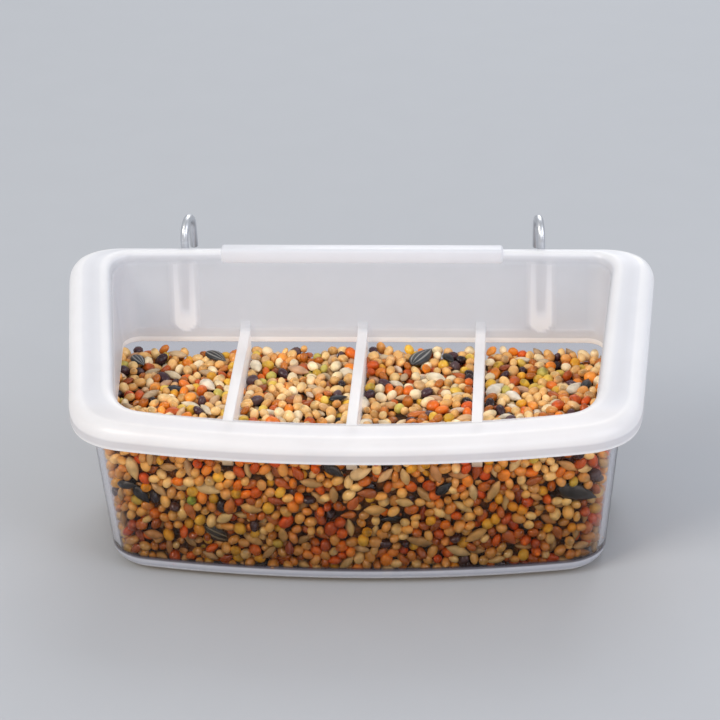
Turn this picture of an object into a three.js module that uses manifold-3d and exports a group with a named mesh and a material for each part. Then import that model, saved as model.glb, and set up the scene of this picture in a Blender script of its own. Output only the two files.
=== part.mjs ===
// Hanging cage seed cup: a clear cup, a frosted guard with three dividers and two hook sockets, two wire
// hooks and the seed fill. Millimetres, +Z up, the front faces -Y, and the cup's foot stands on z = 0.
import * as THREE from 'three';
import { mergeVertices } from 'three/addons/utils/BufferGeometryUtils.js';
import Module from 'manifold-3d';

const { degToRad, lerp, smoothstep } = THREE.MathUtils;

// Driving sizes
const GUARD_WIDTH = 152.4; // between the band's sides produced to its back line
const GUARD_DEPTH = 66.5; // front of the band to the back of its rim
const CUP_HEIGHT = 43.1;
const GUARD_RISE = 23.0; // back of the band above the cup's rim

// Clearances
const SEAT_GAP = 0.3; // between pieces that touch in use
const BORE_GAP = 0.3; // round the hook wire in its socket

// Plan outlines: half width at the back line, taper of the sides in degrees, back and front lines, radius of
// the bowed front, and the corner radii. The others lie within the band by the given distances.
const BAND = {
  half: GUARD_WIDTH / 2, taper: 5.8, back: 5.2, front: 5.2 - GUARD_DEPTH, bow: 262, backR: 10.5, frontR: 18,
};
const within = (side, back, front, shape) => ({
  half: BAND.half - side, back: BAND.back - back, front: BAND.front + front, ...shape,
});
const CUP_LIP = within(4.6, 0.7, 2.0, { taper: 4.4, bow: 260, backR: 10, frontR: 16 });
const CUP_RIM = within(6.9, 1.9, 3.7, { taper: 3.4, bow: 262, backR: 9, frontR: 14 });
const CUP_BASE = within(11.6, 6.6, 7.1, { taper: 3.0, bow: 285, backR: 6, frontR: 12 });
const PLUG = within(13.3, BAND.back, 11.3, { taper: 4.6, bow: 245, backR: 4.5, frontR: 9 });

// Clear cup
const CUP_WALL = 1.6;
const LIP_THICK = 1.4;
const FLOOR_Z = 2.4;
const BASE_ROUND = 3.6; // outside radius between wall and base
const FOOT_IN = 1.0; // foot ring, in from the end of the base radius
const FOOT_WIDE = 3.4;
const FOOT_HIGH = 0.6;

// Frosted guard
const GUARD_WALL = 1.3;
const PLUG_DEEP = 1.6; // the guard's wall reaches this far into the cup
const PLUG_Z = CUP_HEIGHT - PLUG_DEEP;
const WALL_DRAFT = 0.07;
const BAND_FRONT_Z = CUP_HEIGHT + SEAT_GAP + GUARD_WALL;
const BAND_BACK_Z = CUP_HEIGHT + GUARD_RISE;
const RISE_FRONT_Y = BAND.front + 11.3; // the band climbs between these two lines
const RISE_BACK_Y = 0.5;
const RISE_END_SLOPE = 0.12;
const INNER_ROUND = 2.6;
const OUTER_ROUND = 3.2;
const UNDER_COVE = 0.9; // inside corners under the band
const SKIRT = 6.3;
const BACK_SKIRT = 3.0;
const LAND = { half: 36.5, high: 0.9, front: 0.5, deep: 2.8 }; // raised strip on the back rim

// Dividers
const DIVIDER_PITCH = 30.7;
const DIVIDER_THICK = 2.6;
const DIVIDER_TOP = CUP_HEIGHT + 1.4;
const DIVIDER_HIGH = 12.0;
const DIVIDER_FOOT = DIVIDER_TOP - DIVIDER_HIGH;
const DIVIDER_CLIMB = 5.0; // fillet up the back wall
const DIVIDER_ROUND = 2.0; // lower front corner
const DIVIDER_NOSE = 4.5; // slope under the band at the front

// Hooks and their sockets
const HOOK_X = 46.3;
const HOOK_Y = 6.6;
const WIRE_R = 1.05;
const CROOK_R = 4.0; // centre line of the bend over the cage bar
const CROOK_Z = BAND_BACK_Z + 1.35;
const TAIL_LOW = 5.8;
const TAIL_SPLAY = 0.7;
const HOOK_TURN = { left: 9, right: -8 }; // how far each crook is turned in the photographed state, degrees
const SOCKET = {
  half: 3.4, low: CUP_HEIGHT + 0.8, high: BAND_BACK_Z - LAND.deep, front: 0.8, back: 9.9, bevel: 0.8,
  boreLow: CUP_HEIGHT + 4.8,
};

// Seed fill
const SEED_TOP = CUP_HEIGHT - 3.6; // crowns of the uppermost seeds
const SEED_RELIEF = 2.0; // from the seeds' crowns down to the hollows between them
const SEED_GRAIN = 3.9; // from a crown to the hollow beside it

// How finely each stretch of an outline is divided
const STEPS = { bow: 12, frontCorner: 5, side: 5, backCorner: 4, back: 8 };

const wasm = await Module();
wasm.setup();

// Stations of a rounded outline with a bowed front, anticlockwise: {x, y, nx, ny} with the outward normal.
function outline({ half, taper, back, front, bow, backR, frontR }) {
  const t = degToRad(taper);
  const nx = Math.cos(t), ny = -Math.sin(t);
  const reach = nx * half + ny * back;
  const rear = { x: (reach - backR - ny * (back - backR)) / nx, y: back - backR };
  const start = { x: rear.x + nx * (backR - frontR), y: rear.y + ny * (backR - frontR) };
  const bowY = front + bow;
  const along = ny * start.x - nx * (start.y - bowY);
  const gap = start.x ** 2 + (start.y - bowY) ** 2 - (bow - frontR) ** 2;
  const s = -along + Math.sqrt(along ** 2 - gap);
  const fore = { x: start.x + ny * s, y: start.y - nx * s };
  const edge = Math.atan2(fore.y - bowY, fore.x);

  const stations = [];
  const arc = (cx, cy, r, from, to, steps) => {
    for (let i = 0; i <= steps; i++) {
      const a = lerp(from, to, i / steps);
      stations.push({ x: cx + r * Math.cos(a), y: cy + r * Math.sin(a), nx: Math.cos(a), ny: Math.sin(a) });
    }
  };
  const straight = (next, steps) => {
    const last = stations.at(-1);
    for (let i = 1; i < steps; i++) {
      stations.push({ ...last, x: lerp(last.x, next.x, i / steps), y: lerp(last.y, next.y, i / steps) });
    }
  };
  const side = { x: rear.x + backR * nx, y: rear.y + backR * ny };
  arc(0, bowY, bow, -Math.PI - edge, edge, STEPS.bow);
  arc(fore.x, fore.y, frontR, edge, -t, STEPS.frontCorner);
  straight(side, STEPS.side);
  arc(rear.x, rear.y, backR, -t, Math.PI / 2, STEPS.backCorner);
  straight({ x: -rear.x, y: back }, STEPS.back);
  arc(-rear.x, rear.y, backR, Math.PI / 2, Math.PI + t, STEPS.backCorner);
  straight({ x: -fore.x - frontR * nx, y: fore.y + frontR * ny }, STEPS.side);
  arc(-fore.x, fore.y, frontR, Math.PI + t, Math.PI - edge, STEPS.frontCorner);
  return stations.filter((p, i) => {
    const q = stations[(i + stations.length - 1) % stations.length];
    return Math.hypot(p.x - q.x, p.y - q.y) > 1e-6;
  });
}

const blend = (a, b, t) => a.map((p, i) => ({
  x: lerp(p.x, b[i].x, t), y: lerp(p.y, b[i].y, t), nx: lerp(p.nx, b[i].nx, t), ny: lerp(p.ny, b[i].ny, t),
}));
const ringAt = (stations, out, z) => stations.map((p) => (
  new THREE.Vector3(p.x + p.nx * out, p.y + p.ny * out, z)
));

// A closed body from equal rings of points: joined end to end, or with both ends closed by a fan.
function ringBody(rings, joined = false) {
  const n = rings[0].length, positions = [], index = [];
  rings.flat().forEach((p) => positions.push(p.x, p.y, p.z));
  const last = joined ? rings.length : rings.length - 1;
  for (let r = 0; r < last; r++) {
    const a = r * n, b = ((r + 1) % rings.length) * n;
    for (let i = 0; i < n; i++) {
      const j = (i + 1) % n;
      index.push(a + i, a + j, b + j, a + i, b + j, b + i);
    }
  }
  if (!joined) {
    [[0, -1], [(rings.length - 1) * n, 1]].forEach(([first, turn]) => {
      const ring = rings[first / n], centre = positions.length / 3;
      const middle = ring.reduce((sum, p) => sum.add(p), new THREE.Vector3()).divideScalar(n);
      positions.push(middle.x, middle.y, middle.z);
      for (let i = 0; i < n; i++) {
        const j = (i + 1) % n;
        index.push(centre, first + (turn > 0 ? i : j), first + (turn > 0 ? j : i));
      }
    });
  }
  const body = new THREE.BufferGeometry();
  body.setAttribute('position', new THREE.Float32BufferAttribute(positions, 3));
  body.setIndex(index);
  return facingOut(body);
}

// Turns a closed geometry's triangles to face outwards.
function facingOut(body) {
  const p = body.getAttribute('position'), index = body.index.array;
  const [a, b, c] = [0, 1, 2].map(() => new THREE.Vector3());
  let volume = 0;
  for (let i = 0; i < index.length; i += 3) {
    a.fromBufferAttribute(p, index[i]);
    b.fromBufferAttribute(p, index[i + 1]);
    c.fromBufferAttribute(p, index[i + 2]);
    volume += a.dot(b.cross(c));
  }
  if (volume < 0) {
    for (let i = 0; i < index.length; i += 3) [index[i], index[i + 1]] = [index[i + 1], index[i]];
  }
  return body;
}

function toSolid(geometry) {
  const bare = geometry.clone();
  bare.deleteAttribute('normal');
  bare.deleteAttribute('uv');
  const merged = mergeVertices(bare, 1e-4);
  return new wasm.Manifold(new wasm.Mesh({
    numProp: 3,
    vertProperties: new Float32Array(merged.getAttribute('position').array),
    triVerts: new Uint32Array(merged.index.array),
  }));
}

function toGeometry(solid) {
  const mesh = solid.getMesh();
  const geometry = new THREE.BufferGeometry();
  geometry.setAttribute('position', new THREE.Float32BufferAttribute(mesh.vertProperties, 3));
  geometry.setIndex(Array.from(mesh.triVerts));
  geometry.computeVertexNormals();
  return geometry;
}

const extruded = (shape, depth, bevel = 0) => new THREE.ExtrudeGeometry(shape, {
  depth: depth - 2 * bevel, curveSegments: 8, bevelEnabled: bevel > 0, bevelSegments: 2,
  bevelSize: bevel, bevelThickness: bevel, bevelOffset: -bevel,
}).translate(0, 0, bevel);

// Height of the guard's band over a line across the part: level at the front, climbing to a level back.
function bandHeight(y) {
  const t = (y - RISE_FRONT_Y) / (RISE_BACK_Y - RISE_FRONT_Y);
  if (t <= 0) return BAND_FRONT_Z;
  if (t >= 1) return BAND_BACK_Z;
  const ease = (3 - 2 * t) * t * t;
  const lift = (t - 1) * t * t * (RISE_BACK_Y - RISE_FRONT_Y) * RISE_END_SLOPE;
  return lerp(BAND_FRONT_Z, BAND_BACK_Z, ease) + lift;
}

const cupStations = [outline(CUP_BASE), outline(CUP_RIM)];
const cupOutline = (z) => blend(...cupStations, z / CUP_HEIGHT);

// The cup's front wall, seen from inside, at a place across the part and a height.
function cupFront(x, z) {
  const bow = lerp(CUP_BASE.bow, CUP_RIM.bow, z / CUP_HEIGHT) - CUP_WALL;
  const front = lerp(CUP_BASE.front, CUP_RIM.front, z / CUP_HEIGHT) + CUP_WALL;
  return front + bow - Math.sqrt(bow ** 2 - x ** 2);
}

// Rings that round a corner between a level face and the cup's wall, `out` from the cup's outer wall.
function roundedCorner(out, low, radius, stationsAt = cupOutline) {
  return [0, 25, 50, 72, 90].map((angle) => {
    const a = degToRad(angle), z = low + radius * (1 - Math.cos(a));
    return ringAt(stationsAt(z), out - radius * (1 - Math.sin(a)), z);
  });
}

// The base outline drawn in by a distance, its corners kept round.
const baseInset = (d) => outline({
  ...CUP_BASE, half: CUP_BASE.half - d, back: CUP_BASE.back - d, front: CUP_BASE.front + d,
  bow: CUP_BASE.bow - d,
  backR: Math.max(2, CUP_BASE.backR - d), frontR: Math.max(3, CUP_BASE.frontR - d),
});

function clearCup() {
  const rim = cupOutline(CUP_HEIGHT), lip = outline(CUP_LIP);
  const footOut = BASE_ROUND + FOOT_IN, footIn = footOut + FOOT_WIDE;
  return ringBody([
    ringAt(baseInset(footIn + FOOT_HIGH), 0, FOOT_HIGH),
    ringAt(baseInset(footIn), 0, 0),
    ringAt(baseInset(footOut), 0, 0),
    ringAt(baseInset(footOut - FOOT_HIGH), 0, FOOT_HIGH),
    ...roundedCorner(0, FOOT_HIGH, BASE_ROUND),
    ringAt(cupOutline(CUP_HEIGHT - LIP_THICK), 0, CUP_HEIGHT - LIP_THICK),
    ringAt(lip, 0, CUP_HEIGHT - LIP_THICK),
    ringAt(lip, 0, CUP_HEIGHT - 0.4),
    ringAt(lip, -0.4, CUP_HEIGHT),
    ringAt(rim, -CUP_WALL, CUP_HEIGHT),
    ...roundedCorner(-CUP_WALL, FLOOR_Z, BASE_ROUND - CUP_WALL).reverse(),
  ]);
}

// Depth of the seeds' surface at a place in a grid, 0 on a crown: crowns and hollows take turns.
function seedRelief(i, j) {
  const v = Math.sin(i * 12.9898 + j * 78.233) * 43758.5453;
  const uneven = v - Math.floor(v);
  return SEED_RELIEF * ((i + j) % 2 ? 0.7 + 0.3 * uneven : 0.2 * uneven);
}

// Stations put at even distances round a closed outline.
function spaced(stations, count) {
  const next = (i) => stations[(i + 1) % stations.length];
  const lengths = stations.map((p, i) => Math.hypot(next(i).x - p.x, next(i).y - p.y));
  const step = lengths.reduce((sum, length) => sum + length, 0) / count;
  let at = 0, passed = 0;
  return Array.from({ length: count }, (_, k) => {
    while (passed + lengths[at] < k * step) passed += lengths[at++];
    const [p, q] = [stations[at], next(at)], t = (k * step - passed) / lengths[at];
    return { x: lerp(p.x, q.x, t), y: lerp(p.y, q.y, t), nx: lerp(p.nx, q.nx, t), ny: lerp(p.ny, q.ny, t) };
  });
}

// A block whose top and bottom have the seeds' crowns and hollows.
function grainyBlock(low, high) {
  const { half, front, back } = CUP_RIM;
  const nx = Math.round((2 * half) / SEED_GRAIN), ny = Math.round((back - front) / SEED_GRAIN);
  const points = [], index = [], side = (nx + 1) * (ny + 1);
  const id = (i, j, face) => face * side + j * (nx + 1) + i;
  [[low, 1], [high, -1]].forEach(([z, inwards], face) => {
    for (let j = 0; j <= ny; j++) {
      for (let i = 0; i <= nx; i++) {
        const x = lerp(-half, half, i / nx), y = lerp(front, back, j / ny);
        points.push(new THREE.Vector3(x, y, z + inwards * seedRelief(i, j)));
      }
    }
    for (let j = 0; j < ny; j++) {
      for (let i = 0; i < nx; i++) {
        const corners = [id(i, j, face), id(i + 1, j, face), id(i + 1, j + 1, face), id(i, j + 1, face)];
        const [a, b, c, d] = face ? corners : corners.reverse();
        index.push(a, b, c, a, c, d);
      }
    }
  });
  const rim = [];
  for (let i = 0; i < nx; i++) rim.push([i, 0]);
  for (let j = 0; j < ny; j++) rim.push([nx, j]);
  for (let i = nx; i > 0; i--) rim.push([i, ny]);
  for (let j = ny; j > 0; j--) rim.push([0, j]);
  rim.forEach(([i, j], k) => {
    const [m, n] = rim[(k + 1) % rim.length];
    index.push(id(i, j, 0), id(m, n, 0), id(m, n, 1), id(i, j, 0), id(m, n, 1), id(i, j, 1));
  });
  const block = new THREE.BufferGeometry().setFromPoints(points);
  block.setIndex(index);
  return toSolid(facingOut(block));
}

// The seed lies in the cup up to just under the guard, with a slot round each divider. Its crowns and hollows
// show on the top, against the cup's wall and on the floor.
function seedFill() {
  const out = -CUP_WALL - SEAT_GAP, low = FLOOR_Z + SEAT_GAP, round = BASE_ROUND - CUP_WALL - SEAT_GAP;
  const { half, back, front } = CUP_RIM;
  const count = 2 * Math.round((2 * half + back - front) / SEED_GRAIN);
  const stationsAt = (z) => spaced(cupOutline(z), count);
  const from = low + round + SEED_GRAIN / 2, rows = Math.round((SEED_TOP - from) / SEED_GRAIN);
  const fill = toSolid(ringBody([
    ...roundedCorner(out, low, round, stationsAt),
    ...Array.from({ length: rows + 2 }, (_, k) => {
      const z = from + ((SEED_TOP - from) * k) / rows;
      return stationsAt(z).map(({ x, y, nx, ny }, i) => {
        const d = out - seedRelief(i, k);
        return new THREE.Vector3(x + nx * d, y + ny * d, z);
      });
    }),
  ]));
  const slot = (x) => {
    const wide = DIVIDER_THICK + 2 * SEAT_GAP, foot = DIVIDER_FOOT - SEAT_GAP;
    const block = new THREE.BoxGeometry(wide, 2 * GUARD_DEPTH, DIVIDER_HIGH);
    return toSolid(block.translate(x, 0, foot + DIVIDER_HIGH / 2));
  };
  const heap = fill.intersect(grainyBlock(low, SEED_TOP));
  return toGeometry([-1, 0, 1].reduce((body, k) => body.subtract(slot(k * DIVIDER_PITCH)), heap));
}

// The guard's wall and its band: one channel section swept round the outline.
function guardShell() {
  const plug = outline(PLUG), band = outline(BAND);
  const wallPoint = (p, z, out = 0) => {
    const d = out + WALL_DRAFT * (z - PLUG_Z);
    return new THREE.Vector3(p.x + p.nx * d, p.y + p.ny * d, z);
  };
  const sections = plug.map((p, i) => {
    let top = bandHeight(p.y);
    for (let k = 0; k < 4; k++) top = bandHeight(wallPoint(p, top).y);
    const inner = wallPoint(p, top), outer = new THREE.Vector3(band[i].x, band[i].y, bandHeight(band[i].y));
    const wide = Math.hypot(outer.x - inner.x, outer.y - inner.y);
    const at = (s, drop) => inner.clone().lerp(outer, s / wide).add(new THREE.Vector3(0, 0, -drop));
    const toBack = 1 - smoothstep(wide, 4, 10);
    const rIn = Math.min(INNER_ROUND, 0.4 * wide, 0.8 * (top - PLUG_Z));
    const rOut = Math.min(OUTER_ROUND, 0.4 * wide);
    const skirt = lerp(SKIRT, BACK_SKIRT, toBack);
    const round = (r, angle) => [r * (1 - Math.cos(degToRad(angle))), r * (1 - Math.sin(degToRad(angle)))];
    const inArc = [0, 30, 60, 90].map((a) => round(rIn, a)).map(([s, drop]) => at(s, drop));
    const outArc = [90, 60, 30, 0].map((a) => round(rOut, a)).map(([s, drop]) => at(wide - s, drop));
    const w = GUARD_WALL, cove = Math.min(UNDER_COVE, 0.1 * wide);
    return [
      wallPoint(p, PLUG_Z), ...inArc, ...outArc, at(wide, skirt), at(wide - w, skirt),
      at(wide - w, w + cove), at(wide - w - cove, w), at(w + cove, w), at(w, w + cove),
      wallPoint(p, PLUG_Z, w),
    ];
  });
  return toSolid(ringBody(sections[0].map((_, k) => sections.map((s) => s[k])), true));
}

// The flat seat round sides and back that rests on the cup's lip.
function guardSeat() {
  const plug = outline(PLUG), lip = outline(CUP_LIP);
  const low = CUP_HEIGHT + SEAT_GAP, high = BAND_FRONT_Z;
  return toSolid(ringBody([
    ringAt(plug, 0.7, low), ringAt(lip, 0, low), ringAt(lip, 0, high - 0.2), ringAt(lip, -0.2, high),
    ringAt(plug, 0.7, high),
  ], true));
}

function divider(x) {
  const low = cupFront(x, DIVIDER_FOOT) + SEAT_GAP, high = cupFront(x, BAND_FRONT_Z - GUARD_WALL) + SEAT_GAP;
  const side = new THREE.Shape();
  side.moveTo(1.0, DIVIDER_TOP + DIVIDER_CLIMB);
  side.quadraticCurveTo(-0.4, DIVIDER_TOP + 0.3, -0.7 * DIVIDER_CLIMB, DIVIDER_TOP);
  side.lineTo(high + DIVIDER_NOSE, DIVIDER_TOP);
  side.lineTo(high, BAND_FRONT_Z - 0.6 * GUARD_WALL);
  side.lineTo(low, DIVIDER_FOOT + 0.75 * DIVIDER_ROUND);
  side.quadraticCurveTo(low + 0.2, DIVIDER_FOOT, low + DIVIDER_ROUND, DIVIDER_FOOT);
  side.lineTo(0.4, DIVIDER_FOOT + 1.6);
  side.lineTo(0.4, PLUG_Z + 0.2);
  const blade = extruded(side, DIVIDER_THICK).translate(0, 0, -DIVIDER_THICK / 2);
  return toSolid(blade.rotateX(Math.PI / 2).rotateZ(Math.PI / 2).translate(x, 0, 0));
}

// The space inside the guard's wall, out to halfway through the wall.
function hollow() {
  const plug = outline(PLUG);
  return toSolid(ringBody([PLUG_Z - GUARD_WALL, BAND_BACK_Z + GUARD_WALL].map((z) => (
    ringAt(plug, WALL_DRAFT * (z - PLUG_Z) + GUARD_WALL / 2, z)
  ))));
}

// A round-bottomed pocket on the back wall for the hook's wire.
function socket(x) {
  const { half, low, high, front, back, bevel } = SOCKET;
  const face = new THREE.Shape();
  face.moveTo(half, high);
  face.lineTo(-half, high);
  face.lineTo(-half, low + half);
  face.absarc(0, low + half, half, Math.PI, 2 * Math.PI, false);
  const boss = extruded(face, back - front + bevel, bevel).rotateX(Math.PI / 2).translate(x, back, 0);
  return toSolid(boss).subtract(hollow());
}

function bore(x) {
  const r = WIRE_R + BORE_GAP, length = 30;
  const hole = new THREE.CylinderGeometry(r, r, length, 16).rotateX(Math.PI / 2);
  return toSolid(hole.translate(x, HOOK_Y, SOCKET.boreLow + length / 2));
}

// The raised strip along the middle of the back rim.
function backLand() {
  const front = PLUG.back + WALL_DRAFT * (BAND_BACK_Z - PLUG_Z) - LAND.front;
  const shape = new THREE.Shape();
  const low = BAND_BACK_Z - LAND.deep, high = BAND_BACK_Z + LAND.high;
  shape.moveTo(front, low);
  shape.lineTo(BAND.back, low);
  shape.lineTo(BAND.back, high - 0.8);
  shape.quadraticCurveTo(BAND.back, high, BAND.back - 0.8, high);
  shape.lineTo(front + 0.8, high);
  shape.quadraticCurveTo(front, high, front, high - 0.8);
  const strip = extruded(shape, 2 * LAND.half, 0.5).translate(0, 0, -LAND.half);
  return toSolid(strip.rotateX(Math.PI / 2).rotateZ(Math.PI / 2));
}

function frostedGuard() {
  let body = guardShell().add(guardSeat()).add(backLand());
  for (const k of [-1, 0, 1]) body = body.add(divider(k * DIVIDER_PITCH));
  for (const k of [-1, 1]) body = body.add(socket(k * HOOK_X));
  for (const k of [-1, 1]) body = body.subtract(bore(k * HOOK_X));
  return toGeometry(body);
}

// One piece of wire: the shank in its socket, the crook over the cage bar, and the short splayed tail.
function wireHook(x, turn) {
  const path = [[0, SOCKET.boreLow + 0.6], [0, SOCKET.high - 6], [0, CROOK_Z]];
  for (let angle = 15; angle <= 180; angle += 15) {
    const a = degToRad(angle);
    path.push([CROOK_R * (1 - Math.cos(a)), CROOK_Z + CROOK_R * Math.sin(a)]);
  }
  path.push([2 * CROOK_R + TAIL_SPLAY, CROOK_Z - TAIL_LOW]);
  const sides = 12;
  const rings = path.map(([y, z], i) => {
    const [y0, z0] = path[Math.max(0, i - 1)], [y1, z1] = path[Math.min(path.length - 1, i + 1)];
    const length = Math.hypot(y1 - y0, z1 - z0), ty = (y1 - y0) / length, tz = (z1 - z0) / length;
    return Array.from({ length: sides }, (_, k) => {
      const a = (2 * Math.PI * k) / sides, out = WIRE_R * Math.cos(a);
      return new THREE.Vector3(WIRE_R * Math.sin(a), y - out * tz, z + out * ty);
    });
  });
  return toGeometry(toSolid(ringBody(rings))).rotateZ(degToRad(-turn)).translate(x, HOOK_Y, 0);
}

const frosted = new THREE.MeshStandardMaterial({
  color: '#eceef2', roughness: 0.45, metalness: 0, transparent: true, opacity: 0.6,
});
const clear = new THREE.MeshStandardMaterial({
  color: '#e6ecee', roughness: 0.08, metalness: 0, transparent: true, opacity: 0.25,
});
const steel = new THREE.MeshStandardMaterial({ color: '#c6cacf', roughness: 0.28, metalness: 1 });
const seed = new THREE.MeshStandardMaterial({ color: '#c08a4c', roughness: 0.7, metalness: 0 });

const group = new THREE.Group();
const addPiece = (name, geometry, material) => {
  const mesh = new THREE.Mesh(geometry, material);
  mesh.name = name;
  group.add(mesh);
};
addPiece('clear_cup', clearCup(), clear);
addPiece('seed_mix', seedFill(), seed);
addPiece('guard', frostedGuard(), frosted);
addPiece('hook_left', wireHook(-HOOK_X, HOOK_TURN.left), steel);
addPiece('hook_right', wireHook(HOOK_X, HOOK_TURN.right), steel.clone());

// The origin lies under the middle of the whole part.
const whole = new THREE.Box3().setFromObject(group);
const middleY = (whole.min.y + whole.max.y) / 2;
group.children.forEach((mesh) => mesh.geometry.translate(0, -middleY, 0));

export default group;
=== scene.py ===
"""Looks of a hanging cage seed cup: clear cup, frosted guard, two wire hooks and the mixed seed in it.

Lengths are written in millimetres in the CAD model's own frame and become metres where a mesh is made.
"""
import logging
import math
from collections.abc import Callable, Iterator, Sequence
from contextlib import contextmanager
from dataclasses import dataclass, field, replace
from enum import Enum

import bmesh
import bpy
import numpy as np
from mathutils import Matrix, Vector, kdtree


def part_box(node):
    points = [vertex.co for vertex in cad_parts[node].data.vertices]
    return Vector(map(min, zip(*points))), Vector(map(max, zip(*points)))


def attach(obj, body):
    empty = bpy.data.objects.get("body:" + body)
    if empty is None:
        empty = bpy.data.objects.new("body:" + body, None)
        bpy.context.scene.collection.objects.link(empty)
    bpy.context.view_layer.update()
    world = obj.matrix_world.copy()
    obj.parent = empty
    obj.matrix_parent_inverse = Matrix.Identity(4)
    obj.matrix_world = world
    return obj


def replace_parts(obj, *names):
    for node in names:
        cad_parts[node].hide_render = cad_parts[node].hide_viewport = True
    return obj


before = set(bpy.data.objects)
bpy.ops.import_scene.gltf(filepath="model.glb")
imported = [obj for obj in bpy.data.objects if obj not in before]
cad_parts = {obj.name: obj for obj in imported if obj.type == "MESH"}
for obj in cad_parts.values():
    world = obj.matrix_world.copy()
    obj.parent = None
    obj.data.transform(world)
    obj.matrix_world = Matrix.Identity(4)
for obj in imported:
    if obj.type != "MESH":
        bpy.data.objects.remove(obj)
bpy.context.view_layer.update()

log = logging.getLogger("seed_cup")
MM = 0.001
RANDOM_SEED = 20
Array = np.ndarray
Socket, Node, Tree = bpy.types.NodeSocket, bpy.types.Node, bpy.types.NodeTree
Piece, Mesh, Material = bpy.types.Object, bpy.types.Mesh, bpy.types.Material
GeometryTree = bpy.types.GeometryNodeTree


def linear(colour: str, alpha: float = 1.0) -> tuple[float, float, float, float]:
    """Turns an sRGB hex colour into linear light.

    Args:
        colour: the colour as "#rrggbb".
        alpha: the fourth value.

    Returns:
        Red, green, blue and alpha.
    """
    parts = [int(colour[i:i + 2], 16) / 255 for i in (1, 3, 5)]
    return (*[c / 12.92 if c <= 0.04045 else ((c + 0.055) / 1.055) ** 2.4 for c in parts], alpha)


def add_node(tree: Tree, kind: str, inputs: dict | None = None, **props: object) -> Node:
    """Adds one node to a tree.

    Args:
        tree: the shader or geometry tree.
        kind: the node's type name.
        inputs: input socket (name or number) to its constant, or to the output socket that feeds it.
        props: the node's own properties.

    Returns:
        The new node.
    """
    node = tree.nodes.new(kind)
    for name, value in props.items():
        setattr(node, name, value)
    for name, value in (inputs or {}).items():
        if isinstance(value, Socket):
            tree.links.new(value, node.inputs[name])
        else:
            node.inputs[name].default_value = value
    return node


class Shader:
    """A material being built, with short ways to add the nodes that most finishes use."""

    def __init__(self, name: str) -> None:
        self.material = bpy.data.materials.new(name)
        self.material.use_nodes = True
        self.tree = self.material.node_tree
        self.tree.nodes.clear()
        self.coordinates = self.add("TexCoord").outputs
        self.place = self.coordinates["Object"]

    def add(self, kind: str, inputs: dict | None = None, **props: object) -> Node:
        """Adds a shader node, named without its prefix."""
        return add_node(self.tree, f"ShaderNode{kind}", inputs, **props)

    def noise(self, size_mm: float, detail: float) -> Socket:
        """Cloudy values of a size, in the piece's own coordinates."""
        inputs = {"Vector": self.place, "Scale": 1 / (size_mm * MM), "Detail": detail}
        return self.add("TexNoise", inputs).outputs["Fac"]

    def span(self, value: Socket, low: float = 0, high: float = 1, to: Sequence[float] = (0, 1)) -> Socket:
        """Maps what lies between two values to another range, held within it."""
        inputs = {"Value": value, "From Min": low, "From Max": high, "To Min": to[0], "To Max": to[1]}
        return self.add("MapRange", inputs).outputs["Result"]

    def calc(self, operation: str, *parts: Socket | float, **props: object) -> Socket:
        """Works out one sum on sockets and numbers."""
        return self.add("Math", dict(enumerate(parts)), operation=operation, **props).outputs[0]

    def bump(self, height: Socket, strength: float, deep_mm: float, **props: object) -> Socket:
        """Tilts the surface as a relief of that depth would."""
        inputs = {"Height": height, "Strength": strength, "Distance": deep_mm * MM}
        return self.add("Bump", inputs, **props).outputs["Normal"]

    def toned(self, colour: Socket | Sequence[float], value: Socket) -> Socket:
        """Makes a colour darker or lighter."""
        return self.add("HueSaturation", {"Color": colour, "Value": value}).outputs[0]

    def ramp(self, source: Socket, *stops: tuple[float, str], interpolation: str = "LINEAR") -> Socket:
        """Adds a colour ramp.

        Args:
            source: the socket that drives it.
            stops: places from 0 to 1, each with its sRGB colour.
            interpolation: how the ramp goes between stops.

        Returns:
            The ramp's colour.
        """
        node = self.add("ValToRGB", {"Fac": source})
        node.color_ramp.interpolation = interpolation
        while len(node.color_ramp.elements) < len(stops):
            node.color_ramp.elements.new(0.5)
        for element, (place, colour) in zip(node.color_ramp.elements, stops):
            element.position = place
            element.color = linear(colour)
        return node.outputs["Color"]

    def solid(self, colour: Socket | Sequence[float], inputs: dict) -> Socket:
        """Adds the main surface shader."""
        return self.add("BsdfPrincipled", {"Base Color": colour, **inputs}).outputs[0]

    def clear(self, colour: Socket | Sequence[float]) -> Socket:
        """Lets light straight on, coloured."""
        return self.add("BsdfTransparent", {"Color": colour}).outputs[0]

    def mix(self, share: Socket | float, first: Socket, second: Socket) -> Socket:
        """Mixes two surfaces by the second's share."""
        return self.add("MixShader", {"Fac": share, 1: first, 2: second}).outputs[0]

    def done(self, surface: Socket) -> Material:
        """Ends the material with its surface."""
        self.add("OutputMaterial", {"Surface": surface})
        return self.material


def new_group(name: str, inputs: dict[str, str], result: str) -> tuple[GeometryTree, dict]:
    """Starts a geometry node tree.

    Args:
        name: the tree's name.
        inputs: the name of each input and its kind.
        result: the output's name.

    Returns:
        The tree and its inputs' sockets by name.
    """
    tree = bpy.data.node_groups.new(name, "GeometryNodeTree")
    for label, kind in inputs.items():
        tree.interface.new_socket(label, in_out="INPUT", socket_type=f"NodeSocket{kind}")
    tree.interface.new_socket(result, in_out="OUTPUT", socket_type="NodeSocketGeometry")
    source = add_node(tree, "NodeGroupInput")
    return tree, {label: source.outputs[label] for label in inputs}


def end_group(tree: GeometryTree, body: Socket, material: Socket) -> GeometryTree:
    """Ends a tree: what it makes becomes real geometry and takes the material."""
    whole = add_node(tree, "GeometryNodeRealizeInstances", {"Geometry": body})
    shown = add_node(tree, "GeometryNodeSetMaterial", {"Geometry": whole.outputs[0], "Material": material})
    add_node(tree, "NodeGroupOutput", {0: shown.outputs[0]})
    return tree


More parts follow.
